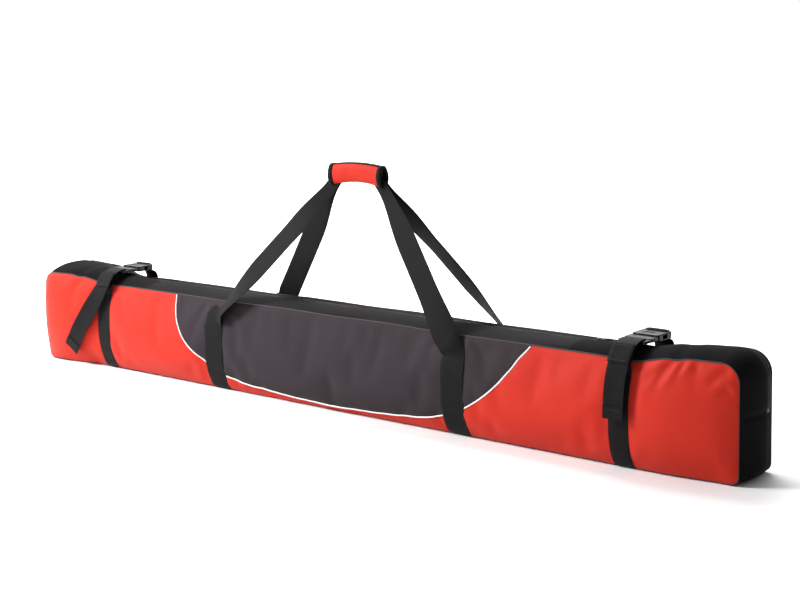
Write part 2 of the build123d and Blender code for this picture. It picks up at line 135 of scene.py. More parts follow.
def smooth(t):
    """0 below 0, 1 above 1 and an S between."""
    t = np.clip(t, 0, 1)
    return t * t * (3 - 2 * t)


def bump(x, centre, width):
    """A bell of height 1 at centre."""
    return np.exp(-(((x - centre) / width) ** 2))


def unit(v):
    """Vectors along the last axis, scaled to length 1."""
    return v / np.maximum(np.linalg.norm(v, axis=-1, keepdims=True), 1e-12)


def ripple(a, b, size, seed):
    """Gentle waves, the same at each run, between about -1 and 1."""
    total = 0
    for k in range(1, 6):
        angle = 2.4 * k + seed
        along = (cos(angle) * a + sin(angle) * b) / size * (0.6 + 0.35 * k)
        total = total + np.sin(along * tau + 1.7 * k * seed + k) / (1 + 0.5 * k)
    return total / 1.6


def resample(points, step):
    """The same line as points about step apart, through a Catmull-Rom curve."""
    points = np.asarray(points, float)
    ghost = np.vstack([2 * points[0] - points[1], points, 2 * points[-1] - points[-2]])
    fine = []
    for i in range(len(points) - 1):
        p0, p1, p2, p3 = ghost[i : i + 4]
        for t in np.linspace(0, 1, 24, endpoint=False):
            bend = (2 * p0 - 5 * p1 + 4 * p2 - p3) * t**2 + (3 * p1 - p0 - 3 * p2 + p3) * t**3
            fine.append(0.5 * (2 * p1 + (p2 - p0) * t + bend))
    fine = np.array(fine + [points[-1]])
    run = run_length(fine)
    at = np.linspace(0, run[-1], max(2, int(round(run[-1] / step)) + 1))
    return np.stack([np.interp(at, run, fine[:, k]) for k in range(fine.shape[1])], axis=1)


def run_length(points):
    """Distance along a line of points, at each of them."""
    return np.concatenate([[0], np.cumsum(np.linalg.norm(np.diff(points, axis=0), axis=1))])


def point_at(distance, along, line):
    """The point of a line at a distance along it."""
    return np.array([np.interp(distance, along, line[:, k]) for k in range(3)])


def square_to(tangent, vectors):
    """The vectors turned square to the tangents, at length 1."""
    return unit(vectors - tangent * np.sum(vectors * tangent, axis=-1, keepdims=True))


def at_x(x, *places):
    """Points at one x, from y and z in millimetres."""
    return [(x, y * MM, z * MM) for y, z in places]


def quads(index):
    """Four-sided faces over a grid of vertex numbers."""
    return np.stack([index[:-1, :-1], index[1:, :-1], index[1:, 1:], index[:-1, 1:]], axis=-1).reshape(-1, 4)


def ring_skin(rings, sides, base=0):
    """Faces over a row of rings of vertices, closed at both ends."""
    faces = []
    for start in range(base, base + (rings - 1) * sides, sides):
        for k in range(sides):
            a, b = start + k, start + (k + 1) % sides
            faces.append((a, b, b + sides, a + sides))
    last = base + (rings - 1) * sides
    return faces + [tuple(range(base, base + sides))[::-1], tuple(range(last, last + sides))]


def add_object(name, data):
    """A new object in the scene."""
    thing = bpy.data.objects.new(name, data)
    bpy.context.scene.collection.objects.link(thing)
    return thing


def mesh_object(name, verts, faces, material, flat, shade_smooth=True):
    """A new mesh piece; flat gives each vertex its place on the cut cloth, in metres, for the weave."""
    mesh = bpy.data.meshes.new(name)
    mesh.from_pydata([tuple(v) for v in verts], [], [tuple(f) for f in faces])
    bm = bmesh.new()
    bm.from_mesh(mesh)
    bmesh.ops.recalc_face_normals(bm, faces=bm.faces)
    bm.to_mesh(mesh)
    bm.free()
    packed = np.zeros((len(verts), 3), np.float32)
    packed[:, :2] = flat
    mesh.attributes.new("flat", "FLOAT_VECTOR", "POINT").data.foreach_set("vector", packed.ravel())
    mesh.polygons.foreach_set("use_smooth", [shade_smooth] * len(mesh.polygons))
    mesh.set_sharp_from_angle(angle=radians(52))
    mesh.materials.append(material)
    return add_object(name, mesh)


def place(piece, body, slot, *nodes):
    """The piece rides on a body and stands for CAD nodes, which are hidden; slot is not used."""
    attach(piece, body)
    return describe(piece, slot, *nodes)


def describe(piece, slot, *nodes):
    """Hides the CAD nodes the piece stands for; slot is not used."""
    if nodes:
        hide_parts(*nodes)
    return piece


def grid_normals(grid, outward):
    """Unit normals of a grid of points, on the side that outward points to."""
    normal = unit(np.cross(np.gradient(grid, axis=0), np.gradient(grid, axis=1)))
    sign = np.sign(np.sum(normal * np.asarray(outward), axis=-1).mean())
    return normal * (sign if sign else 1)


def closed_sheet(name, outer, inner, flat, material):
    """A closed piece between two grids of points, flat giving each point's place on the cut cloth."""
    index = np.arange(outer[..., 0].size).reshape(outer.shape[:2])
    front = quads(index)
    loop = np.concatenate([index[:-1, 0], index[-1, :-1], index[:0:-1, -1], index[0, :0:-1]])
    after = np.roll(loop, -1)
    rim = np.stack([after, loop, loop + index.size, after + index.size], axis=-1)
    faces = np.concatenate([front, front[:, ::-1] + index.size, rim])
    verts = np.concatenate([outer.reshape(-1, 3), inner.reshape(-1, 3)])
    return mesh_object(name, verts, faces.tolist(), material, np.concatenate([flat.reshape(-1, 2)] * 2))


def cloth_sheet(name, grid, outward, material, thick=CLOTH, flat=None, turned=(1, 1, 1, 1)):
    """A closed sheet of cloth with the grid as its outer face; turned: edges at its start, end, low, high."""
    rows, cols = grid.shape[:2]
    normal = grid_normals(grid, outward)
    if flat is None:
        u = np.cumsum(np.linalg.norm(np.diff(grid, axis=0), axis=2), axis=0)
        v = np.cumsum(np.linalg.norm(np.diff(grid, axis=1), axis=2), axis=1)
        flat = np.stack([np.vstack([np.zeros((1, cols)), u]), np.hstack([np.zeros((rows, 1)), v])], axis=2)
    edge = np.zeros((rows, cols), bool)
    for is_turned, line in zip(turned, (edge[0], edge[-1], edge[:, 0], edge[:, -1])):
        line |= bool(is_turned)
    outer = grid - normal * (edge * thick * 0.3)[..., None]
    inner = outer - normal * np.where(edge, thick * 0.4, thick)[..., None]
    return closed_sheet(name, outer, inner, flat, material)


def tube(name, path, radius, material, sides=10):
    """A round cord sewn along a path, with its weave running along it."""
    tangent = unit(np.gradient(path, axis=0))
    guide = np.array([0.0, 1.0, 0.0]) if abs(tangent[0][1]) < 0.8 else np.array(ALONG_X)
    verts, flats = [], []
    for p, t, s, r in zip(path, tangent, run_length(path), np.broadcast_to(radius, (len(path),))):
        side = unit(np.cross(t, guide))
        guide = np.cross(side, t)
        for turn in np.arange(sides) * tau / sides:
            verts.append(p + r * (cos(turn) * side + sin(turn) * guide))
            flats.append((s, r * turn))
    return mesh_object(name, verts, ring_skin(len(path), sides), material, flats)


# ---------------------------------------------------------------- materials


class Nodes:
    """A short way to write a node tree."""

    def __init__(self, name):
        self.material = bpy.data.materials.new(name)
        self.material.use_nodes = True
        self.tree = self.material.node_tree
        self.shader = self.tree.nodes["Principled BSDF"]

    def add(self, kind, **settings):
        node = self.tree.nodes.new(kind)
        for key, value in settings.items():
            setattr(node, key, value)
        return node

    def link(self, source, target):
        self.tree.links.new(source, target)

    def math(self, operation, a, b=None):
        node = self.add("ShaderNodeMath", operation=operation)
        for socket, value in zip(node.inputs, (a, b)):
            if value is None:
                continue
            if isinstance(value, (int, float)):
                socket.default_value = value
            else:
                self.link(value, socket)
        return node.outputs[0]

    def noise(self, coordinates, scale, detail=3.0, roughness=0.55):
        node = self.add("ShaderNodeTexNoise")
        node.inputs["Scale"].default_value = scale
        node.inputs["Detail"].default_value = detail
        node.inputs["Roughness"].default_value = roughness
        self.link(coordinates, node.inputs["Vector"])
        return node.outputs["Fac"]

    def ramp(self, value, low, high, low_color, high_color):
        node = self.add("ShaderNodeValToRGB")
        node.color_ramp.elements[0].position = low
        node.color_ramp.elements[1].position = high
        node.color_ramp.elements[0].color = (*low_color, 1)
        node.color_ramp.elements[1].color = (*high_color, 1)
        self.link(value, node.inputs["Fac"])
        return node.outputs["Color"]

    def bumps(self, *layers):
        """Chains bump layers, each a height, a depth in metres and a strength, into the shader's normal."""
        previous = None
        for height, distance, strength in layers:
            node = self.add("ShaderNodeBump")
            node.inputs["Distance"].default_value = distance
            node.inputs["Strength"].default_value = strength
            self.link(height, node.inputs["Height"])
            if previous is not None:
                self.link(previous, node.inputs["Normal"])
            previous = node.outputs["Normal"]
        self.link(previous, self.shader.inputs["Normal"])

    def set(self, **values):
        for key, value in values.items():
            self.shader.inputs[key.replace("_", " ")].default_value = value


def cloth_place(n):
    """The two directions on the cut cloth, in metres."""
    source = n.add("ShaderNodeAttribute", attribute_name="flat")
    split = n.add("ShaderNodeSeparateXYZ")
    n.link(source.outputs["Vector"], split.inputs["Vector"])
    return source.outputs["Vector"], split.outputs["X"], split.outputs["Y"]


def threads(n, a, b, pitch):
    """Height of a plain weave: threads along each way go over and under by turns."""
    over = n.math("MULTIPLY", *(n.math("SINE", n.math("MULTIPLY", way, pi / pitch)) for way in (a, b)))
    return n.math("ADD", n.math("MULTIPLY", over, 0.5), 0.5)


def shades(color, low, high):
    """Two shades of a colour."""
    return tuple(c * low for c in color), tuple(min(1.0, c * high) for c in color)


def woven(name, color, pitch=0.55 * MM, depth=0.10 * MM, rough=0.62, sheen=0.03, spread=0.10, gloss=0.12):
    """Coated polyester in plain weave, with faint shade changes and small crumples."""
    n = Nodes(name)
    flat, a, b = cloth_place(n)
    weave = threads(n, a, b, pitch)
    cloud = n.noise(flat, 9.0, 4.0)
    tone = n.math("ADD", n.math("MULTIPLY", cloud, 0.6), n.math("MULTIPLY", weave, 0.25))
    tone = n.math("ADD", tone, n.math("MULTIPLY", n.noise(flat, 900.0, 2.0), 0.15))
    n.link(n.ramp(tone, 0.25, 0.75, *shades(color, 1 - spread, 1 + spread)), n.shader.inputs["Base Color"])
    n.link(n.math("ADD", n.math("MULTIPLY", cloud, 0.16), rough - 0.08), n.shader.inputs["Roughness"])
    n.bumps((n.noise(flat, 26.0, 3.0), 1.2 * MM, 0.3), (weave, depth, 0.6))
    n.set(Sheen_Weight=sheen, Sheen_Roughness=0.45, Specular_IOR_Level=gloss)
    return n.material


def ribbed(name, color, rib=1.3 * MM):
    """Webbing: fine cross ribs in lengthwise columns, its colour a little lighter on the raised ribs and in soft
    patches.
    """
    n = Nodes(name)
    flat, along, across = cloth_place(n)
    column = 2.6 * MM
    shift = n.math("PINGPONG", n.math("MULTIPLY", across, 1 / column), 1.0)
    bent = n.math("ADD", along, n.math("MULTIPLY", shift, rib))
    cross_rib = n.math("SINE", n.math("MULTIPLY", bent, tau / rib))
    ridge = n.math("ABSOLUTE", n.math("SINE", n.math("MULTIPLY", across, pi / column)))
    height = n.math("ADD", n.math("MULTIPLY", cross_rib, 0.35), n.math("MULTIPLY", ridge, 0.65))
    cloud = n.noise(flat, 22.0, 4.0)
    tone = n.math("ADD", n.math("MULTIPLY", cloud, 0.7), n.math("MULTIPLY", height, 0.22))
    n.link(n.ramp(tone, 0.2, 0.85, *shades(color, 0.84, 1.32)), n.shader.inputs["Base Color"])
    n.link(n.math("ADD", n.math("MULTIPLY", cloud, 0.2), 0.5), n.shader.inputs["Roughness"])
    n.bumps((height, 0.25 * MM, 0.7), (n.noise(flat, 60.0), 0.5 * MM, 0.3))
    n.set(Sheen_Weight=0.03, Sheen_Roughness=0.5, Specular_IOR_Level=0.06)
    return n.material


def moulded(name, color, rough, metallic=0.0, gloss=0.3):
    """Moulded plastic or enamelled metal: fine grain, soft scuffs and a little uneven gloss."""
    n = Nodes(name)
    here = n.add("ShaderNodeTexCoord").outputs["Object"]
    scuffs = n.noise(here, 160.0, 5.0, 0.7)
    n.link(n.ramp(scuffs, 0.35, 0.8, *shades(color, 0.85, 1.5)), n.shader.inputs["Base Color"])
    n.link(n.math("ADD", n.math("MULTIPLY", scuffs, 0.12), rough - 0.06), n.shader.inputs["Roughness"])
    n.bumps((n.noise(here, 2500.0, 2.0), 0.05 * MM, 0.35), (n.noise(here, 90.0), 0.2 * MM, 0.2))
    n.set(Metallic=metallic, Specular_IOR_Level=gloss)
    return n.material


def napped(name, color):
    """Hook and loop tape: a dense, matt pile."""
    n = Nodes(name)
    pile = n.noise(cloth_place(n)[0], 2200.0, 3.0, 0.7)
    n.link(n.ramp(pile, 0.3, 0.75, *shades(color, 0.6, 1.9)), n.shader.inputs["Base Color"])
    n.bumps((pile, 0.6 * MM, 0.9))
    n.set(Roughness=0.95, Sheen_Weight=0.1, Specular_IOR_Level=0.1)
    return n.material


RED = (0.50, 0.0215, 0.0095)
CHARCOAL = (0.033, 0.026, 0.030)
MATERIALS = {
    "red": woven("red_polyester", RED, spread=0.07, sheen=0.08),
    "grip": woven("grip_polyester", RED, pitch=0.7 * MM, depth=0.16 * MM, spread=0.08),
    "charcoal": woven("charcoal_polyester", CHARCOAL, rough=0.6, spread=0.14, gloss=0.05),
    "gusset": woven("gusset_polyester", (0.0115, 0.0098, 0.011), rough=0.75, spread=0.15, gloss=0.02),
    # end: a darker copy of the gusset cloth, painted shade for the bag's ends, its underside and the top past the
    # lids
    "end": woven("shaded_gusset_polyester", (0.0072, 0.0066, 0.0076), rough=0.8, spread=0.15, gloss=0.01),
    "piping": woven("white_piping", (0.86, 0.85, 0.84), pitch=0.8 * MM, depth=0.2 * MM, spread=0.05),
    # welt: a dark charcoal seam cord, coloured lighter than the gusset cloth; part of that lightness is painted
    # sheen along the seam edge
    "welt": woven("seam_welt", (0.050, 0.043, 0.047), pitch=0.8 * MM, depth=0.2 * MM),
    "lining": woven("grey_lining", (0.24, 0.24, 0.25), pitch=0.4 * MM, rough=0.45, sheen=0.1),
    "webbing": ribbed("black_webbing", (0.0065, 0.0062, 0.007)),
    "binding": ribbed("black_binding", (0.0065, 0.0062, 0.007), 0.9 * MM),
    "thread": woven("black_thread", (0.060, 0.060, 0.063), pitch=0.25 * MM, depth=0.08 * MM),
    "tape": ribbed("zip_tape", (0.013, 0.013, 0.014), 0.8 * MM),
    "chain": moulded("zip_chain", (0.016, 0.016, 0.018), rough=0.35),
    "enamel": moulded("zip_enamel", (0.012, 0.012, 0.013), rough=0.2, metallic=0.15, gloss=0.35),
    "acetal": moulded("buckle_acetal", (0.005, 0.005, 0.006), rough=0.2, gloss=0.28),
    "pile": napped("hook_and_loop", (0.020, 0.020, 0.022)),
}


# ---------------------------------------------------------------- the bag's skin


def top_seam(x):
    """Height of the seam between a wall and the top, before the corners."""
    rise = smooth((np.abs(x) - WAIST_X) / (SHOULDER_X - WAIST_X))
    cinch = bump(np.abs(x), STRAP_X, 42 * MM)
    sag = 2.4 * MM * ripple(np.abs(x), 0 * x, 0.62, 0.7) * (1 - bump(np.abs(x), STRAP_X, 80 * MM))
    pucker = 3.0 * MM * bump(np.abs(x), SHOULDER_X - 18 * MM, 14 * MM)
    return TOP - 2 * MM + (END_TOP - TOP - 7 * MM) * rise - 2 * MM * cinch + sag - pucker


def side_at(x, side):
    """Distance of a wall's seams from the bag's middle plane, more at the left end and less at the right."""
    fuller = 17 * MM * smooth((-x - 0.66) / 0.15)
    slimmer = 9 * MM * smooth((x - 0.70) / 0.12) * (np.asarray(side) < 0)
    return SIDE + fuller - slimmer


def corner_drop(x, radius):
    """How far the outline comes in at an end's corner."""
    over = np.clip(np.abs(x) - (HALF - radius), 0, radius)
    return radius - np.sqrt(np.maximum(radius**2 - over**2, 0))


def wall_top(x):
    """Upper edge of a wall."""
    return top_seam(x) - corner_drop(x, TOP_CORNER)


def wall_bottom(x):
    """Lower edge of a wall."""
    return BOTTOM + 0 * x + corner_drop(x, BOTTOM_CORNER)


CREASES = (
    # from x and distance below the seam, to x and distance below, width, depth
    (728, 1, 698, 50, 7.0, 5.2),
    (748, 1, 736, 26, 5.0, 3.2),
    (712, 10, 672, 44, 7.0, 2.6),
    (768, 3, 772, 26, 6.0, 1.8),
    (818, 10, 782, 44, 8.0, 3.0),
    (824, 34, 800, 62, 8.0, 1.8),
    (668, 30, 664, 100, 9.0, 2.4),
    (-606, 3, -556, 26, 6.0, 2.6),
    (-600, 8, -570, 52, 6.0, 1.8),
    (-668, 6, -700, 44, 7.0, 2.2),
    (-720, 3, -742, 34, 7.0, 2.0),
    (334, 4, 372, 32, 6.0, 1.8),
    (268, 6, 236, 34, 7.0, 1.6),
    (-268, 8, -200, 30, 8.0, 2.2),
    (-270, 14, -228, 66, 8.0, 1.6),
    (-335, 10, -356, 50, 7.0, 1.4),
)


def crease_depth(x, below):
    """Depth of the folds in a wall near its straps, at x and a distance below the top seam."""
    depth = 0 * x
    for x0, b0, x1, b1, width, deep in CREASES:
        start, end = np.array([x0, b0]) * MM, np.array([x1, b1]) * MM
        along = end - start
        t = ((x - start[0]) * along[0] + (below - start[1]) * along[1]) / (along @ along)
        away = np.abs((x - start[0]) * along[1] - (below - start[1]) * along[0]) / sqrt(along @ along)
        taper = smooth(1.6 * (1 - t)) * smooth((t + 0.25) * 3)
        depth = depth + deep * MM * taper * (np.exp(-((away / (width * MM)) ** 2))
                                             - 0.35 * np.exp(-(((away - 2 * width * MM) / (width * MM)) ** 2)))
    return depth


def wall_bulge(x, v):
    """How far a wall stands out from its seams, at x and at v of the way up it."""
    puff = (1 - np.abs(2 * v - 1) ** 2.3) ** 0.78
    end = np.clip((np.abs(x) - 0.68) / (HALF - 0.68), 0, 1)
    fade = np.where(x < 0, (1 - end**6) ** 0.6, (1 - end**2.6) ** 0.62)
    low_heavy = 1 + 0.10 * (0.5 - v)
    swell = BULGE * (1 + 0.05 * ripple(x, 0 * x, 0.7, 1.3))
    strap = 2.6 * MM * bump(np.abs(x), STRAP_X, 34 * MM) + 1.2 * MM * bump(np.abs(x), HANDLE_X, 40 * MM)
    return (swell * fade * low_heavy - strap * fade) * puff


FIELD_X = np.linspace(-1, 1, 261)
FIELD_V = np.linspace(0, 1, 31)
SETTLED = {side: np.zeros((len(FIELD_X), len(FIELD_V), 3)) for side, _ in SIDES}
FARTHEST = np.array([4, 9, 6]) * MM
CLOTH_FRAMES = 34
CLOTH_SETTINGS = {
    "quality": 5, "mass": 0.2, "tension_stiffness": 30, "compression_stiffness": 18, "shear_stiffness": 8,
    "bending_stiffness": 4.0, "air_damping": 4, "vertex_group_mass": "held", "pin_stiffness": 4,
    "shrink_min": -0.008, "use_pressure": True, "uniform_pressure_force": 5.0,
}


def settled(x, v, side):
    """How far the filled cloth of a wall has moved from its drawn shape, at x and v."""
    i = np.clip((x / HALF + 1) / 2 * (len(FIELD_X) - 1), 0, len(FIELD_X) - 1.001)
    j = np.clip(v * (len(FIELD_V) - 1), 0, len(FIELD_V) - 1.001)
    i0, j0 = i.astype(int), j.astype(int)
    u, w = (i - i0)[..., None], (j - j0)[..., None]
    field = SETTLED[side]
    return ((1 - u) * (1 - w) * field[i0, j0] + u * (1 - w) * field[i0 + 1, j0]
            + (1 - u) * w * field[i0, j0 + 1] + u * w * field[i0 + 1, j0 + 1])


def drawn_wall(x, v, side):
    """Points of a wall's outer face before its cloth fills out."""
    along = -side * x
    low, high = wall_bottom(x), wall_top(along)
    z = low + (high - low) * v
    edge = np.minimum(v, 1 - v)
    soft = smooth(edge / 0.10)
    out = wall_bulge(x, v) - crease_depth(along, high - z) * smooth(edge / 0.03)
    out = out + 0.8 * MM * soft * ripple(along, z, 0.23, 2.1 if side < 0 else 4.4)
    near = np.minimum(np.abs(np.abs(x) - STRAP_X), np.abs(np.abs(x) - HANDLE_X))
    out = out + 0.7 * MM * soft * ripple(along, z, 0.07, 5.2) * np.exp(-((near / (70 * MM)) ** 2))
    return np.stack([x, side * (side_at(x, side) + 0.6 * MM + out), z], axis=-1)


def wall_point(x, v, side=-1):
    """Points of a wall's outer face: side -1 is the front, 1 the rear, which is the front turned about."""
    x, v = np.broadcast_arrays(np.asarray(x, float), np.asarray(v, float))
    point = drawn_wall(x, v, side) + settled(x, v, side)
    seam = 0.9 * MM * np.exp(-((lens_distance(-side * x, point[..., 2]) / (5 * MM)) ** 2))
    point[..., 1] -= side * seam * smooth(np.minimum(v, 1 - v) / 0.04)
    return point


def filling():
    """Both walls' drawn faces as one mesh, with how firmly each vertex is held."""
    verts, faces, pins = [], [], []
    for side, _ in SIDES:
        x, v = np.meshgrid(FIELD_X * HALF, FIELD_V, indexing="ij")
        grid = drawn_wall(x, v, side)
        over = quads(np.arange(x.size).reshape(x.shape) + len(verts))
        faces += (over if side < 0 else over[:, ::-1]).tolist()
        verts += grid.reshape(-1, 3).tolist()
        edge = (v < 0.001) | (v > 0.999) | (np.abs(x) > HALF - 1 * MM)
        strap = 0.7 * (np.abs(np.abs(x) - STRAP_X) < STRAP_HALF)
        band = 0.25 * (np.abs(np.abs(x) - HANDLE_X) < HANDLE_HALF) * (v < 0.85)
        pins += np.maximum(edge * 1.0, np.maximum(strap, band)).ravel().tolist()
    mesh = bpy.data.meshes.new("filling")
    mesh.from_pydata(verts, [], faces)
    return mesh, np.array(verts), pins


def fill_out():
    """The walls' cloth, held at its seams and under the straps, is pushed out from inside until it settles."""
    mesh, verts, pins = filling()
    piece = add_object("filling", mesh)
    group = piece.vertex_groups.new(name="held")
    for i, weight in enumerate(pins):
        if weight:
            group.add([i], weight, "REPLACE")
    cloth = piece.modifiers.new("cloth", "CLOTH")
    for key, value in CLOTH_SETTINGS.items():
        setattr(cloth.settings, key, value)
    cloth.settings.effector_weights.gravity = 0.15
    cloth.collision_settings.use_collision = False
    cloth.point_cache.frame_start, cloth.point_cache.frame_end = 1, CLOTH_FRAMES
    for step in range(1, CLOTH_FRAMES + 1):
        bpy.context.scene.frame_set(step)
    done = piece.evaluated_get(bpy.context.evaluated_depsgraph_get())
    co = np.zeros(verts.size)
    done.data.vertices.foreach_get("co", co)
    moved = (co.reshape(-1, 3) - verts).reshape(2, len(FIELD_X), len(FIELD_V), 3)
    for (side, _), field in zip(SIDES, moved):
        field[:] = np.clip(field, -FARTHEST, FARTHEST)
        for _ in range(2):
            field[1:-1] = (field[:-2] + 2 * field[1:-1] + field[2:]) / 4
            field[:, 1:-1] = (field[:, :-2] + 2 * field[:, 1:-1] + field[:, 2:]) / 4
        SETTLED[side][:] = field
    bpy.context.scene.frame_set(1)
    bpy.data.objects.remove(piece)
    bpy.data.meshes.remove(mesh)


def lens_line():
    """The seam of the dark middle panel on a wall, from the left tip to the right, as x and z."""
    right = resample(np.array(LENS_RIGHT) * MM, 3 * MM)
    left = resample(np.array(LENS_LEFT) * MM, 3 * MM)[:0:-1] * (-1, 1)
    return np.vstack([left, right])


LENS = lens_line()
UNDER_SEAM = LENS[LENS[:, 1] < wall_top(LENS[:, 0]), 0]
LEFT_TIP, RIGHT_TIP = UNDER_SEAM.min() - 0.5 * MM, UNDER_SEAM.max() + 1 * MM


LENS_STEPS = np.linspace(LENS[0, 0], LENS[-1, 0], 900)
LENS_HIGH = np.interp(LENS_STEPS, LENS[:, 0], LENS[:, 1])
LENS_SLOPE = np.sqrt(1 + np.gradient(LENS_HIGH, LENS_STEPS) ** 2)


def lens_distance(x, z):
    """About how far a place on a wall is from the middle panel's seam."""
    high = np.interp(x, LENS_STEPS, LENS_HIGH)
    slope = np.interp(x, LENS_STEPS, LENS_SLOPE)
    past = np.maximum(np.abs(x) - LENS_STEPS[-1], 0)
    return np.abs(z - high) / slope + past


def lens_edge(x):
    """Height of the middle panel's lower seam at x."""
    inside = (x > LEFT_TIP) & (x < RIGHT_TIP)
    return np.where(inside, np.minimum(np.interp(x, LENS[:, 0], LENS[:, 1]), wall_top(x)), wall_top(x))


def to_share(x, z):
    """A height on the wall as a share of the wall's height there."""
    return (z - wall_bottom(x)) / (wall_top(x) - wall_bottom(x))


def lens_share(x, side):
    """The middle panel's lower seam on one side of the bag, as a share of the wall's height."""
    return to_share(x, lens_edge(-side * x))


def spread_columns(low, high, dense_low, dense_high, count):
    """Places from low to high, closer together at an end that is dense."""
    t = np.linspace(0, 1, count)
    if dense_low and dense_high:
        t = 0.5 - 0.5 * np.cos(pi * t)
    elif dense_high:
        t = np.sin(pi / 2 * t)
    elif dense_low:
        t = 1 - np.cos(pi / 2 * t)
    return low + (high - low) * t


def wall_piece(name, columns, low, high, rows, side, material, thick=CLOTH, inset=0.0):
    """A piece of wall over columns of x, between two shares of the wall's height."""
    low, high = (np.broadcast_to(share, columns.shape)[:, None] for share in (low, high))
    v = low + (np.maximum(high, low + 1e-5) - low) * np.linspace(0, 1, rows)
    grid = wall_point(columns[:, None], np.clip(v, 0, 1), side)
    if inset:
        grid = grid - grid_normals(grid, (0, side, 0)) * inset
    return cloth_sheet(name, grid, (0, side, 0), material, thick, grid[..., [X, Z]])


def walls():
    """Front and rear panels: one red surround and a dark middle each, piping over their seam, lining inside."""
    far = HALF - 0.02 * MM
    level = 0.38
    mid = np.concatenate([spread_columns(LEFT_TIP, -level, True, False, 46),
                          np.linspace(-level, level, 200)[1:-1],
                          spread_columns(level, RIGHT_TIP, False, True, 46)])
    around = np.concatenate([spread_columns(-far, LEFT_TIP, True, True, 120)[:-1], mid,
                             spread_columns(RIGHT_TIP, far, True, True, 120)[1:]])
    inner = spread_columns(-HALF + 7 * MM, HALF - 7 * MM, True, True, 300)
    seam = resample(LENS[LENS[:, 1] < wall_top(LENS[:, 0]) - 0.2 * MM], 2.5 * MM)
    for side, name in SIDES:
        red_columns, dark_columns = np.sort(-side * around), np.sort(-side * mid)
        surround = wall_piece(f"{name}_red_panel", red_columns, 0, lens_share(red_columns, side), 46, side,
                              MATERIALS["red"])
        place(surround, "root", "red_fabric", f"{name}_panel_red")
        middle = wall_piece(f"{name}_dark_panel", dark_columns, lens_share(dark_columns, side), 1, 44, side,
                            MATERIALS["charcoal"])
        place(middle, "root", "dark_fabric", f"{name}_panel_middle")
        x = -side * seam[:, 0]
        path = wall_point(x, to_share(x, seam[:, 1]), side)
        under_band = smooth((HANDLE_HALF + 4 * MM - np.abs(np.abs(x) - HANDLE_X)) / (4 * MM))
        path[:, 1] += side * (0.7 * MM - 2.3 * MM * under_band)
        cord = tube(f"{name}_piping_cord", path, 1.35 * MM, MATERIALS["piping"])
        place(cord, "root", "piping", f"{name}_piping")
        quilt = wall_piece(f"{name}_lining", inner, 0.035, 0.965, 30, side, MATERIALS["lining"], 3.2 * MM,
                           2.2 * MM)
        quilt_channels(quilt, side)
        place(quilt, "root", "lining", f"{name}_foam")


def quilt_channels(piece, side):
    """Sewn diamond channels, pressed into the inner face of a lining."""
    pitch, depth, width = 70 * MM, 1.8 * MM, 9 * MM
    co = np.array([v.co for v in piece.data.vertices])
    inner = co[len(co) // 2 :]
    a = (inner[:, 0] + inner[:, 2]) / pitch
    b = (inner[:, 0] - inner[:, 2]) / pitch
    near = np.minimum(np.abs(a - np.round(a)), np.abs(b - np.round(b))) * pitch
    inner[:, 1] -= side * depth * (1 - bump(near, 0, width))
    piece.data.vertices.foreach_set("co", co.ravel())
    piece.data.update()


# ---------------------------------------------------------------- the gusset


TOP_STEPS = 330
STRAIGHT_TO = STRAP_X + 14 * MM


def half_outline():
    """The bag's edge from the middle of its top, round the right end, to the middle of its underside."""
    corner = HALF - TOP_CORNER
    high = float(top_seam(np.array(corner))) - TOP_CORNER
    low = BOTTOM + BOTTOM_CORNER
    points = [(x, top_seam(np.array(x))) for x in np.linspace(0, corner, TOP_STEPS)]
    for turn in np.linspace(0, pi / 2, 24)[1:]:
        points.append((corner + TOP_CORNER * sin(turn), high + TOP_CORNER * cos(turn)))
    points += [(HALF, z) for z in np.linspace(high, low, 44)[1:]]
    corner = HALF - BOTTOM_CORNER
    for turn in np.linspace(0, pi / 2, 12)[1:]:
        points.append((corner + BOTTOM_CORNER * cos(turn), low - BOTTOM_CORNER * sin(turn)))
    points += [(x, BOTTOM) for x in np.linspace(corner, 0, 200)[1:]]
    return np.array(points, float)


OUTLINE = half_outline()
RUN = run_length(OUTLINE)


def run_at_x(x):
    """Distance along the outline of a place on the top, given by its x."""
    return float(np.interp(x, OUTLINE[:TOP_STEPS, 0], RUN[:TOP_STEPS]))


def run_at_end_z(z):
    """Distance along the outline of a place on the end, given by its height."""
    on_end = OUTLINE[:, 0] > HALF - 0.01 * MM
    return float(np.interp(-z, -OUTLINE[on_end, 1], RUN[on_end]))


END_RUN = run_at_end_z(END_SEAM)
CORNER_RUN = run_at_x(HALF - TOP_CORNER)
BOTTOM_RUN = run_at_end_z(BOTTOM + BOTTOM_CORNER) + BOTTOM_CORNER * pi / 2


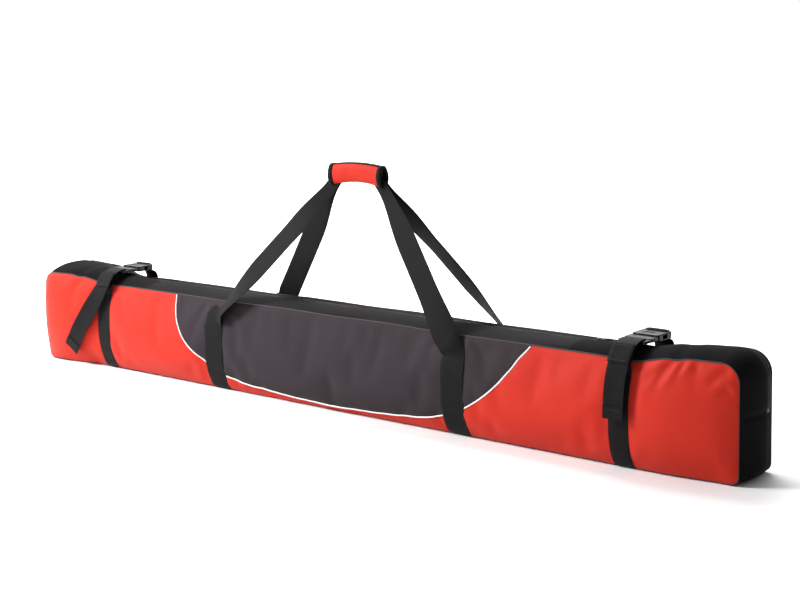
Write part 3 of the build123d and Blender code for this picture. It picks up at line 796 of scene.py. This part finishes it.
def crown(run, y, mirror):
    """How far the gusset stands out of its seams at a distance along the outline and across."""
    across = np.clip(np.abs(y) / SIDE, 0, 1)
    x, z = on_outline(run)
    on_top = 1 - smooth((run - CORNER_RUN + 60 * MM) / (70 * MM))
    under = smooth((run - BOTTOM_RUN + 34 * MM) / (34 * MM))
    pillow = STRAP_PILLOW * bump(x, STRAP_X, 68 * MM) * smooth((12 * MM - y) / (20 * MM))
    shoulder = SHOULDER_CROWN * smooth((x - WAIST_X - 10 * MM) / (70 * MM))
    top = (TOP_CROWN + pillow + shoulder) * (1 - across**2.3) * (1 - 0.12 * y / SIDE)
    end = END_CROWN * (1 - across**2.2) * (1 - under)
    tuck = 3.5 * MM * bump(run, END_RUN, 6 * MM) * (1 - across**4)
    wave = 1.9 * MM * ripple(run, 1.5 * y, 0.26, 3.1 + mirror) * smooth((1 - across) / 0.15)
    wave = wave * smooth((np.abs(y - ZIP_Y) - 9 * MM) / (9 * MM)) * (1 - under)
    out = on_top * top + (1 - on_top) * end - tuck + wave
    beside_zip = np.clip(np.abs(y - ZIP_Y) - ZIP_SLOT, 0, 1)
    straight = bump(beside_zip, 0, 11 * MM) * (1 - smooth((x - STRAIGHT_TO) / (30 * MM))) * on_top
    groove = 1.6 * MM * bump(y, ZIP_Y, 9 * MM) * (1 - under) * (1 - straight)
    return (out - groove) * (1 - straight) + (ZIP_Z + 0.6 * MM - z) * straight


def on_outline(run):
    """The place on the outline at a distance along it, as x and z."""
    return np.interp(run, RUN, OUTLINE[:, 0]), np.interp(run, RUN, OUTLINE[:, 1])


def gusset_point(run, y, mirror=1):
    """Points of the gusset's outer face; mirror -1 is the left half of the bag."""
    x, z = on_outline(run)
    step = 4 * MM
    way = unit(np.stack(on_outline(run + step), -1) - np.stack(on_outline(run - step), -1))
    out = crown(run, y, mirror)
    wide = np.where(y < 0, side_at(mirror * x, -1), side_at(mirror * x, 1)) / SIDE
    return np.stack([mirror * (x - way[..., 1] * out), y * wide, z + way[..., 0] * out], axis=-1)


def away_from_core(grid):
    """Rough outward directions at points of the gusset."""
    return grid * (0.1, 1, 1) - (0, 0, (BOTTOM + TOP) / 2)


def gusset_piece(name, runs, ys, mirror, material, thick=CLOTH, inset=0.0, turned=(0, 0, 1, 1)):
    """A strip of the gusset over distances along the outline and places across."""
    run, y = np.meshgrid(runs, ys, indexing="ij")
    grid = gusset_point(run, y, mirror)
    if inset:
        grid = grid - grid_normals(grid, away_from_core(grid)) * inset
    return cloth_sheet(name, grid, away_from_core(grid), material, thick, np.stack([run, y], axis=2), turned)


def steps(low, high, size, least=3):
    """Evenly spaced places from low to high, about size apart."""
    return np.linspace(low, high, max(least, int(abs(high - low) / size)))


def follow_lid(piece, slot, node):
    """The piece is baked where it stands, on no lid body, and the lid's CAD node it stands for is hidden."""
    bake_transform(piece)
    describe(piece, slot, node)


# A tooth's outline across and along the tape, and its layers: height, shares of length and width, shift
# (millimetres except the shares)
TOOTH = ((0.5, 0.0), (1.6, 0.9), (3.2, 1.3), (3.2, -1.3), (1.6, -0.9))
TOOTH_LAYERS = ((-1.6, 1, 1, 0), (0.2, 1, 1, 0), (0.6, 0.8, 0.92, 0.15))
TOOTH_PITCH = 3.2 * MM


def zip_row(name, run_low, run_high, side, mirror):
    """One row of moulded zip teeth; the rows are half a pitch apart, so that they mesh."""
    verts, faces, flats = [], [], []
    first = run_low + TOOTH_PITCH / 2 + (side > 0) * TOOTH_PITCH / 2
    middle = np.array(ZIP_Y)
    for run in np.arange(first, run_high, TOOTH_PITCH):
        faces += ring_skin(len(TOOTH_LAYERS), len(TOOTH), len(verts))
        for depth, length, width, shift in TOOTH_LAYERS:
            for across, along in TOOTH:
                r = np.array(run + along * length * MM)
                y = side * (across * width + shift) * MM
                q = gusset_point(r + 1 * MM, middle, mirror) - gusset_point(r - 1 * MM, middle, mirror)
                normal = unit(np.array([-q[2], 0, q[0]]) * mirror)
                verts.append(gusset_point(r, middle, mirror) + (0, y, 0) + normal * depth * MM)
                flats.append((float(r), y))
    return mesh_object(name, verts, faces, MATERIALS["chain"], flats, shade_smooth=False)


# A stitch from end to end: share of its length, lift off the cloth in millimetres, share of its radius
STITCH = ((0.0, -0.15, 0.5), (0.25, 0.25, 1.0), (0.75, 0.25, 1.0), (1.0, -0.15, 0.5))


def seam_stitches(name, path, normals, pitch=4.6 * MM, length=3.2 * MM, radius=0.28 * MM):
    """A row of stitches along a path, each a small rounded thread that dips into the cloth at its ends."""
    normals = np.broadcast_to(normals, path.shape)
    along = run_length(path)
    verts, faces, flats = [], [], []
    sides = 6
    for start in np.arange(pitch / 2, along[-1] - length, pitch):
        faces += ring_skin(len(STITCH), sides, len(verts))
        for share, lift, size in STITCH:
            at = start + share * length
            p = point_at(at, along, path)
            normal = unit(point_at(at, along, normals))
            way = unit(point_at(at + 1 * MM, along, path) - p)
            sideways = np.cross(way, normal)
            for turn in np.arange(sides) * tau / sides:
                ring = cos(turn) * sideways + sin(turn) * normal
                verts.append(p + normal * lift * MM + ring * radius * size)
                flats.append((at, radius * turn))
    return mesh_object(name, verts, faces, MATERIALS["thread"], flats)


def gusset_side(mirror, hand, side, name):
    """A lid half and the fixed gusset past it, with their zip teeth and tapes, on one side of the zip."""
    lid_run = run_at_x(FIXED_FROM)
    ys = steps(side * SIDE, ZIP_Y + side * ZIP_SLOT, 3 * MM, 4)
    cloth = gusset_piece(f"lid_{name}_{hand}_cloth", steps(0, lid_run, 4 * MM), ys, mirror, MATERIALS["gusset"])
    follow_lid(cloth, "gusset_fabric", f"lid_{name}_fabric")
    # the fixed top past the lid takes the darker copy of the gusset cloth: painted shade towards the end
    fixed = gusset_piece(f"gusset_{name}_{hand}_cloth", steps(lid_run, END_RUN, 3 * MM), ys, mirror,
                         MATERIALS["end"], turned=(0, 1, 1, 1))
    place(fixed, "root", "gusset_fabric", f"gusset_{name}_{hand}")
    row = zip_row(f"zip_teeth_{name}_{hand}", 0, lid_run, side, mirror)
    follow_lid(row, "zip_chain", f"zip_chain_lid_{name}")
    row = zip_row(f"zip_teeth_end_{name}_{hand}", lid_run, END_RUN, side, mirror)
    place(row, "root", "zip_chain", f"zip_chain_{hand}")
    ys = ZIP_Y + side * np.linspace(2.6 * MM, 15 * MM, 6)
    for part, low, high in (("lid", 0, lid_run), ("end", lid_run, END_RUN)):
        runs = np.append(np.arange(low, high, 4 * MM), high)
        strip = gusset_piece(f"zip_tape_{part}_{name}_{hand}", runs, ys, mirror, MATERIALS["tape"], 0.6 * MM,
                             1.32 * MM, (1, 1, 1, 1))
        if part == "lid":
            follow_lid(strip, "zip_tape", f"zip_tape_lid_{name}")
        else:
            place(strip, "root", "zip_tape", f"zip_tape_{hand}")


def gusset():
    """Lids beside the zip, fixed top and end pieces past them, lower ends, the underside and the zip itself."""
    ys = steps(-SIDE, SIDE, 3 * MM)
    for mirror, hand in HANDS[::-1]:
        for side, name in SIDES:
            gusset_side(mirror, hand, side, name)
        # the lower end and the underside take the darker copy of the gusset cloth: painted shade
        lower = gusset_piece(f"end_lower_{hand}_cloth", steps(END_RUN + 0.3 * MM, BOTTOM_RUN, 3 * MM), ys,
                             mirror, MATERIALS["end"], turned=(1, 1, 1, 1))
        place(lower, "root", "gusset_fabric", f"end_panel_{hand}")
        under = gusset_piece(f"bottom_{hand}_cloth", steps(BOTTOM_RUN + 0.2 * MM, RUN[-1], 12 * MM), ys, mirror,
                             MATERIALS["end"])
        place(under, "root", "gusset_fabric", "bottom_panel")
        centre = gusset_point(np.array(END_RUN), np.array(ZIP_Y), mirror) + (mirror * 0.8 * MM, 0, 0.5 * MM)
        stop = rounded_box(f"zip_stop_{hand}", centre, (2.4 * MM, 8.4 * MM, 7 * MM), 0.8 * MM,
                           MATERIALS["chain"])
        place(stop, "root", "zip_metal", "zip_stops")


def rounded_box(name, centre, size, radius, material):
    """A block with rounded edges."""
    bm = bmesh.new()
    bmesh.ops.create_cube(bm, size=1.0)
    bmesh.ops.scale(bm, vec=Vector(size), verts=bm.verts)
    bmesh.ops.bevel(bm, geom=list(bm.edges), offset=radius, segments=3, profile=0.6, affect="EDGES")
    bmesh.ops.translate(bm, vec=Vector(centre), verts=bm.verts)
    mesh = bpy.data.meshes.new(name)
    bm.to_mesh(mesh)
    bm.free()
    mesh.polygons.foreach_set("use_smooth", [True] * len(mesh.polygons))
    mesh.materials.append(material)
    return add_object(name, mesh)


def welts():
    """The turned seams between the walls and the gusset, as thin raised cords."""
    runs = np.arange(0, RUN[-1], 4 * MM)
    radius = np.where(runs < CORNER_RUN, 1.25 * MM, 0.95 * MM)
    for side, name in SIDES:
        for mirror, hand in HANDS[::-1]:
            path = gusset_point(runs, np.full_like(runs, side * SIDE), mirror)
            path[:, 1] += side * 0.3 * MM
            path[:, 2] += 0.6 * MM * (path[:, 2] < 4 * MM)
            piece = tube(f"seam_welt_{name}_{hand}", path, radius, MATERIALS["welt"], 8)
            place(piece, "root", "gusset_fabric")


# ---------------------------------------------------------------- webbing


def web_strip(name, centre, across, width, thick=WEB, columns=9, cup=0.0):
    """Webbing along a centre line, across giving its width direction; cup bends its section."""
    tangent = unit(np.gradient(centre, axis=0))
    across = square_to(tangent, unit(np.broadcast_to(across, centre.shape)))
    normal = np.cross(tangent, across)
    widths, cups = np.broadcast_to(width, len(centre)), np.broadcast_to(cup, len(centre))
    share = np.linspace(-1, 1, columns)
    edge = np.sqrt(np.maximum(1 - np.abs(share) ** 10, 0)) * 0.75 + 0.25
    middle = centre[:, None] + across[:, None] * (share[None, :, None] * widths[:, None, None] / 2)
    grids = []
    for face in (1, -1):
        offset = face * edge * thick / 2 + cups[:, None] * share**2
        grids.append(middle + normal[:, None] * offset[..., None])
    flat = np.stack(np.meshgrid(run_length(centre), share * widths.mean() / 2, indexing="ij"), axis=2)
    return closed_sheet(name, *grids, flat, MATERIALS["webbing"])


def wall_run(x, z_from, z_to, side, out, step=4 * MM):
    """A line up or down a wall at x, standing out of its face."""
    zs = steps(z_from, z_to, step)
    points = wall_point(x, np.clip(to_share(x, zs), 0, 1), side)
    points[:, 1] += side * out
    points[:, 2] = zs
    return points


def under_run(x, side, out):
    """The line round a lower seam of the bag, from the wall to the flat under it."""
    wall = wall_run(x, 14 * MM, 9 * MM, side, out, 2 * MM)
    bend = [(x, side * (SIDE + 3.5 * MM), 4.0 * MM), (x, side * (SIDE - 1 * MM), WEB / 2 + 0.2 * MM),
            (x, side * (SIDE - 8 * MM), WEB / 2)]
    return np.vstack([wall, bend])


def round_bag(x, top_front, top_rear, out):
    """The centre line of a band, from a height on the front, under the bag, to a height on the rear."""
    front = wall_run(x, top_front, 16 * MM, -1, out)
    rear = wall_run(x, 16 * MM, top_rear, 1, out)
    flat = [(x, y, WEB / 2) for y in np.linspace(-SIDE + 14 * MM, SIDE - 14 * MM, 12)]
    line = np.vstack([front, under_run(x, -1, out)[1:], flat, under_run(x, 1, out)[:0:-1], rear])
    return resample(line, 3.5 * MM)


def handle_bands():
    """The wide bands, sewn round the bag as far as the handles' creases, with stitching along their edges."""
    out = 1.2 * MM
    for sign, hand in HANDS:
        x = sign * HANDLE_X
        line = round_bag(x, CREASE_Z - 22 * MM, CREASE_Z - 22 * MM, out)
        band = web_strip(f"carrying_band_{hand}", line, ALONG_X, 2 * HANDLE_HALF)
        place(band, "root", "webbing", f"handle_band_{hand}")
        for side, name in SIDES:
            part = wall_run(x, CREASE_Z - 24 * MM, 16 * MM, side, out)
            normal = np.cross(unit(np.gradient(part, axis=0)), ALONG_X)
            normal = normal * np.sign(side * normal[:, 1:2])
            for row, edge in (("a", -1), ("b", 1)):
                path = part + (edge * (HANDLE_HALF - 3 * MM), 0, 0) + normal * WEB / 2
                stitches = seam_stitches(f"band_stitches_{name}_{hand}_{row}", path, normal)
                place(stitches, "root", "webbing")


def arch(x):
    """How far the grip and the webbing in it stand above its ends."""
    share = np.clip((x - GRIP_X) / GRIP_HALF, -1, 1)
    return 7 * MM * (1 - share**2)


def leg_line(side, sign):
    """Centre line, width directions and facing of a handle leg, from its band to its end inside the grip."""
    start = wall_run(sign * HANDLE_X, CREASE_Z - 34 * MM, CREASE_Z - 6 * MM, side, 1.6 * MM, 6 * MM)
    end = np.array([GRIP_X + sign * (GRIP_HALF - 13 * MM), side * 2.4 * MM, GRIP_Z - 6 * MM])
    drop = end + np.array([sign * 23, side * 2.5, -27]) * MM
    knee_in, knee_up = LEG_KNEE[side, sign]
    knee = start[-1] + np.array([-sign * knee_in, side * 0.6, knee_up]) * MM
    bow = np.array([LEG_BOW[side, sign], side * 3, 0]) * MM
    shares = ((0, 0), (0.1, 0.2), (0.3, 0.8), (0.55, 1), (0.8, 0.6))
    free = [knee + (drop - knee) * share + bow * bowed for share, bowed in shares]
    line = resample([*start, *free, drop, end], 4 * MM)
    tangent = unit(np.gradient(line, axis=0))
    height = line[:, 2]
    begin = smooth((height - CREASE_Z + 12 * MM) / (26 * MM))
    rising = smooth((height - CREASE_Z - 12 * MM) / (90 * MM))
    finish = smooth((height - GRIP_Z + 120 * MM) / (100 * MM))
    low_turn, high_turn = LEG_TURN[side, sign]
    turn = np.radians(low_turn * (1 - rising) + high_turn * rising) * begin * (1 - finish)
    facing = square_to(tangent, np.stack([sign * np.sin(turn), side * np.cos(turn), 0 * turn], axis=1))
    across = np.cross(tangent, facing)
    return line, across * np.sign(across[0, 0]), facing


def handles():
    """Both webbing loops: a leg up from each crease and the run inside the grip."""
    for side, name in SIDES:
        body = f"handle_{name}"
        for sign, hand in HANDS:
            line, across, facing = leg_line(side, sign)
            height = line[:, 2]
            pinch = bump(height, CREASE_Z + 6 * MM, 16 * MM)
            folded = smooth((height - GRIP_Z + 110 * MM) / (100 * MM))
            width = 2 * HANDLE_HALF * (1 - 0.10 * pinch) * (1 - 0.5 * folded)
            normal = np.cross(unit(np.gradient(line, axis=0)), across)
            turned = np.sign(np.sum(normal * facing, axis=1).mean())
            leg = web_strip(f"handle_{name}_{hand}_leg", line, across, width, WEB, 11, -turned * 4 * MM * pinch)
            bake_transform(leg)
            describe(leg, "webbing", f"handle_{name}_webbing")
        xs = np.linspace(GRIP_X - GRIP_HALF + 12 * MM, GRIP_X + GRIP_HALF - 12 * MM, 30)
        inner = np.stack([xs, np.full_like(xs, side * 1.6 * MM), GRIP_Z + arch(xs) - 1 * MM], axis=1)
        run = web_strip(f"handle_{name}_grip_run", inner, (0, 0, 1.0), 26 * MM, 1.4 * MM)
        place(run, body, "webbing")


def wrap_section(side, folded):
    """Outer line of a grip leaf in a cross-section, from its top edge down, as y and z from the middle."""
    h = WRAP_HALF / MM
    line = [(2.0, h), (5.6, h - 2.0), (9.0, h * 0.55), (10.6, h * 0.1), (10.2, -h * 0.35), (8.0, -h * 0.72)]
    if folded:
        line += [(4.4, -h + 1.2), (0.0, -h - 0.4), (-4.4, -h + 0.6), (-7.0, -h + 3.2)]
    else:
        line += [(7.0, -h * 0.8)]
    return resample(np.array(line) * (side * MM, MM), 1.6 * MM)


def grip():
    """The padded wrap: a front leaf folded under, a rear leaf, black binding, hook and loop along the top."""
    for side, name in SIDES:
        body = f"handle_{name}"
        section = wrap_section(side, folded=side < 0)
        xs = np.linspace(GRIP_X - GRIP_HALF + 5 * MM, GRIP_X + GRIP_HALF - 5 * MM, 56)
        x, k = np.meshgrid(xs, np.arange(len(section)), indexing="ij")
        y, z = section[k, 0], section[k, 1]
        share = (x - GRIP_X) / GRIP_HALF
        swell = 0.97 + 0.06 * ripple(x, z, 0.05, 1.9) + 0.08 * share**2
        grid = np.stack([x, y * swell, GRIP_Z + arch(x) + z * (0.93 + 0.10 * share**2)], axis=-1)
        outward = np.stack([0 * x, y, z * 0.4], axis=-1)
        pad = cloth_sheet(f"grip_{name}_wrap", grid, outward, MATERIALS["grip"], 3.0 * MM)
        place(pad, body, "grip_fabric", f"grip_{name}_pad")
        for end, hand in ((0, "left"), (-1, "right")):
            bound = binding_tube(f"grip_{name}_binding_{hand}", grid[end], outward[end], 5.6 * MM, 3.2 * MM)
            place(bound, body, "binding", f"grip_{name}_binding")
        edge = binding_tube(f"grip_{name}_binding_top", grid[:, 0], (0, 0, 1.0), 3.4 * MM, 2.1 * MM)
        place(edge, body, "binding")
        kind = "hook" if side < 0 else "loop"
        strip_x = np.linspace(GRIP_X - GRIP_HALF + 8 * MM, GRIP_X + GRIP_HALF - 8 * MM, 40)
        rows = np.linspace(GRIP_Z + 4 * MM, GRIP_Z + WRAP_HALF - 1 * MM, 6)
        sx, sz = np.meshgrid(strip_x, rows, indexing="ij")
        pile = np.stack([sx, np.full_like(sx, side * 0.35 * MM), sz + arch(sx)], axis=-1)
        strip = cloth_sheet(f"grip_{kind}_tape", pile, (0, -side, 0), MATERIALS["pile"], 1.4 * MM)
        place(strip, body, "hook_and_loop", f"grip_{kind}_strip")


def binding_tube(name, path, outward, width, thick):
    """Folded binding over a cloth edge: a flattened tube, wide along the cloth and thin across it."""
    tangent = unit(np.gradient(path, axis=0))
    normal = square_to(tangent, unit(np.broadcast_to(outward, path.shape)))
    sideways = np.cross(tangent, normal)
    sides = 12
    verts, flats = [], []
    for p, n_way, s_way, s in zip(path, normal, sideways, run_length(path)):
        for turn in np.arange(sides) * tau / sides:
            flat_cos = abs(cos(turn)) ** 0.7 * (1 if cos(turn) >= 0 else -1)
            verts.append(p - n_way * 1.2 * MM + s_way * flat_cos * width + n_way * sin(turn) * thick)
            flats.append((s, width * turn))
    return mesh_object(name, verts, ring_skin(len(path), sides), MATERIALS["binding"], flats)


def straps():
    """Compression straps: the sewn part, its loop on the socket, the adjusting run, keeper and free tail."""
    wide = 2 * STRAP_HALF
    split, out = 50 * MM, 1.4 * MM
    low, high = SOCKET_LOW.z / MM, SOCKET_HIGH.z / MM
    middle = (low + high) / 2
    bar = SOCKET_HIGH.y / MM - 3.4
    under, over = PLUG_LOW.z / MM - 0.6, PLUG_HIGH.z / MM
    for sign, hand in HANDS:
        x = sign * STRAP_X
        plug = f"{hand}_plug"
        rear = at_x(x, (62.5, 166), (60.5, 178), (56, 189), (bar + 5, low - 1.6), (bar - 1, low - 1.9))
        line = resample([*round_bag(x, split, 150 * MM, out)[:-2], *rear], 3.5 * MM)
        sewn = web_strip(f"{hand}_strap_lower", line, ALONG_X, wide)
        place(sewn, "root", "webbing", f"{hand}_strap_sewn")
        hook = at_x(x, (bar + 2.5, low - 1.7), (bar - 5.8, low - 0.6), (bar - 5.8, middle),
                    (bar - 4.4, high + 1.2), (bar + 2, high + 1.5), (bar + 6, high - 1), (bar + 7, middle),
                    (bar + 6, low + 1.5))
        loop = web_strip(f"{hand}_socket_loop", resample(hook, 1.5 * MM), ALONG_X, wide, 1.4 * MM)
        place(loop, "root", "webbing")
        up = at_x(x, (-67.5, 172), (-62.5, 182), (-55.5, 191.5), (-46.5, under - 1.2),
                  (SLOT_Y - 4.5, under - 1), (SLOT_Y + 0.4, under + 1.5), (SLOT_Y + 0.4, over - 1.5),
                  (SLOT_Y - 3, over + 0.6),
                  (-34, over + 0.9), (-44, over - 1.2), (-54, 200), (-62.5, 190.5))
        line = resample([*wall_run(x, split - 3 * MM, 160 * MM, -1, out), *up], 3.2 * MM)
        run = web_strip(f"{hand}_strap_upper", line, ALONG_X, wide)
        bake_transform(run)
        describe(run, "webbing", f"{hand}_strap_adjuster")
        keeper(hand, x, wide, plug)
        tail(hand, x, wide, plug)


def keeper(hand, x, wide, plug):
    """A box-stitched webbing patch round the strap where it turns over the bag's edge."""
    places = ((-55.5, 202.2), (-60.5, 197.2), (-67.5, 188.4), (-73.2, 180), (-75.2, 175.5))
    line = resample(at_x(x, *places), 2 * MM)
    patch = web_strip(f"{hand}_keeper_patch", line, ALONG_X, wide + 3 * MM, 3.4 * MM, 11)
    place(patch, plug, "webbing", f"{hand}_strap_keeper")
    normal = np.cross(ALONG_X, unit(np.gradient(line, axis=0)))
    normal = normal * np.sign(normal @ (0, -1, 0.7))[:, None]
    face = line + normal * 1.75 * MM
    inset = wide / 2 - 2.4 * MM
    across = np.linspace(-inset, inset, 14)[:, None] * ALONG_X
    rows = {"side_a": face - (inset, 0, 0), "side_b": face + (inset, 0, 0),
            "upper": face[2] + across, "lower": face[-3] + across}
    for name, path in rows.items():
        stitches = seam_stitches(f"{hand}_keeper_stitch_{name}", path, normal[len(line) // 2], 3.4 * MM,
                                 2.4 * MM, 0.32 * MM)
        place(stitches, plug, "webbing")


def tail(hand, x, wide, plug):
    """The free end below the keeper, with its folded and sewn hem; the left one hangs at a slant."""
    slant = 1 if hand == "left" else 0
    line = resample(np.array(TAILS[hand]) * MM + (x, 0, 0), 3 * MM)
    share = smooth(np.linspace(0, 1, len(line)) / 0.45)
    turn = radians(-36) * slant * share
    across = np.stack([np.cos(turn), 0.10 * slant * share, np.sin(turn)], axis=1)
    cup = 1.2 * MM * share
    strip = web_strip(f"{hand}_tail", line, across, wide, cup=cup)
    place(strip, plug, "webbing")
    lower, across, cup = line[-8:], across[-8:], cup[-8:]
    tangent = unit(np.gradient(lower, axis=0))
    level = square_to(tangent, across)
    normal = np.cross(tangent, level)
    normal = normal * np.sign(-normal[:, 1:2])
    hem = web_strip(f"{hand}_tail_hem", lower + normal * 1.55 * MM, across, wide + 0.2 * MM, 1.5 * MM, cup=cup)
    place(hem, plug, "webbing")
    path = lower[2] + normal[2] * 2.4 * MM + level[2] * np.linspace(-1, 1, 12)[:, None] * (wide / 2 - 2 * MM)
    stitches = seam_stitches(f"{hand}_tail_stitch", path, normal[2], 3.4 * MM, 2.4 * MM, 0.3 * MM)
    place(stitches, plug, "webbing")


def hardware():
    """Materials for the CAD's own buckles, sliders and pulls."""
    kinds = {"buckle": ("acetal", "buckle_plastic"), "zip_slider": ("enamel", "zip_metal"),
             "zip_pull": ("enamel", "zip_metal")}
    for name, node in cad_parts.items():
        for word, (finish, slot) in kinds.items():
            if word in name:
                node.data.materials.clear()
                node.data.materials.append(MATERIALS[finish])


# ---------------------------------------------------------------- camera, lights and floor

AZIMUTH = 41.66
ELEVATION = 10.45
ROLL = -1.69
DISTANCE = 2.962
AIM = (0.120, 0.0, 0.2115)
LENS_MM = 73.87


def camera():
    """A camera at the photograph's viewing angle."""
    a, e, r = radians(AZIMUTH), radians(ELEVATION), radians(ROLL)
    back = Vector((sin(a) * cos(e), -cos(a) * cos(e), sin(e)))
    right = Vector((cos(a), sin(a), 0))
    up = back.cross(right)
    turn = Matrix((right * cos(r) + up * sin(r), up * cos(r) - right * sin(r), back)).transposed()
    data = bpy.data.cameras.new("camera")
    data.lens = LENS_MM
    data.sensor_width = 36
    cam = add_object("camera", data)
    cam.matrix_world = Matrix.Translation(Vector(AIM) + back * DISTANCE) @ turn.to_4x4()
    bpy.context.scene.camera = cam


def area_light(name, at, aim, size, power):
    """A soft square light."""
    data = bpy.data.lights.new(name, "AREA")
    data.shape = "SQUARE"
    data.size = size
    data.energy = power
    lamp = add_object(name, data)
    lamp.location = at
    lamp.rotation_euler = (Vector(aim) - Vector(at)).to_track_quat("-Z", "Y").to_euler()


def backdrop():
    """A pale surround, brightest behind the bag on the left and dimmer where it lights the bag's right end."""
    world = bpy.data.worlds.new("world")
    world.use_nodes = True
    tree = world.node_tree
    background = tree.nodes["Background"]
    background.inputs["Color"].default_value = (1, 1, 1, 1)
    direction = tree.nodes.new("ShaderNodeTexCoord")
    facing = tree.nodes.new("ShaderNodeVectorMath")
    facing.operation = "DOT_PRODUCT"
    facing.inputs[1].default_value = (-0.66, 0.75, 0.1)
    spread = tree.nodes.new("ShaderNodeMapRange")
    for socket, value in zip(spread.inputs[1:5], (-0.1, 0.8, 0.2, 1.0)):
        socket.default_value = value
    tree.links.new(direction.outputs["Generated"], facing.inputs[0])
    tree.links.new(facing.outputs["Value"], spread.inputs["Value"])
    tree.links.new(spread.outputs["Result"], background.inputs["Strength"])
    bpy.context.scene.world = world


def studio():
    """A pale floor, a pale surround and soft light from the left."""
    n = Nodes("floor")
    cloud = n.noise(n.add("ShaderNodeTexCoord").outputs["Object"], 3.0)
    n.link(n.ramp(cloud, 0.3, 0.7, (0.93, 0.93, 0.93), (0.95, 0.95, 0.95)), n.shader.inputs["Base Color"])
    n.set(Roughness=0.8, Specular_IOR_Level=0.1)
    mesh = bpy.data.meshes.new("floor")
    mesh.from_pydata([(-4.5, -9.0, 0), (9.0, -9.0, 0), (9.0, 3.6, 0), (-4.5, 3.6, 0)], [], [(0, 1, 2, 3)])
    mesh.materials.append(n.material)
    add_object("floor", mesh)
    backdrop()
    area_light("key", (-1.95, -1.7, 1.95), (-0.15, 0, 0.1), 1.1, 152)
    area_light("fill", (-1.2, -3.2, 0.8), (-0.5, 0, 0.1), 1.0, 5)
    area_light("far_floor", (-2.2, 2.6, 3.6), (-2.2, 2.8, 0), 4.0, 420)
    bpy.context.scene.view_settings.view_transform = "Standard"


camera()
studio()
fill_out()
walls()
gusset()
welts()
handle_bands()
handles()
grip()
straps()
hardware()
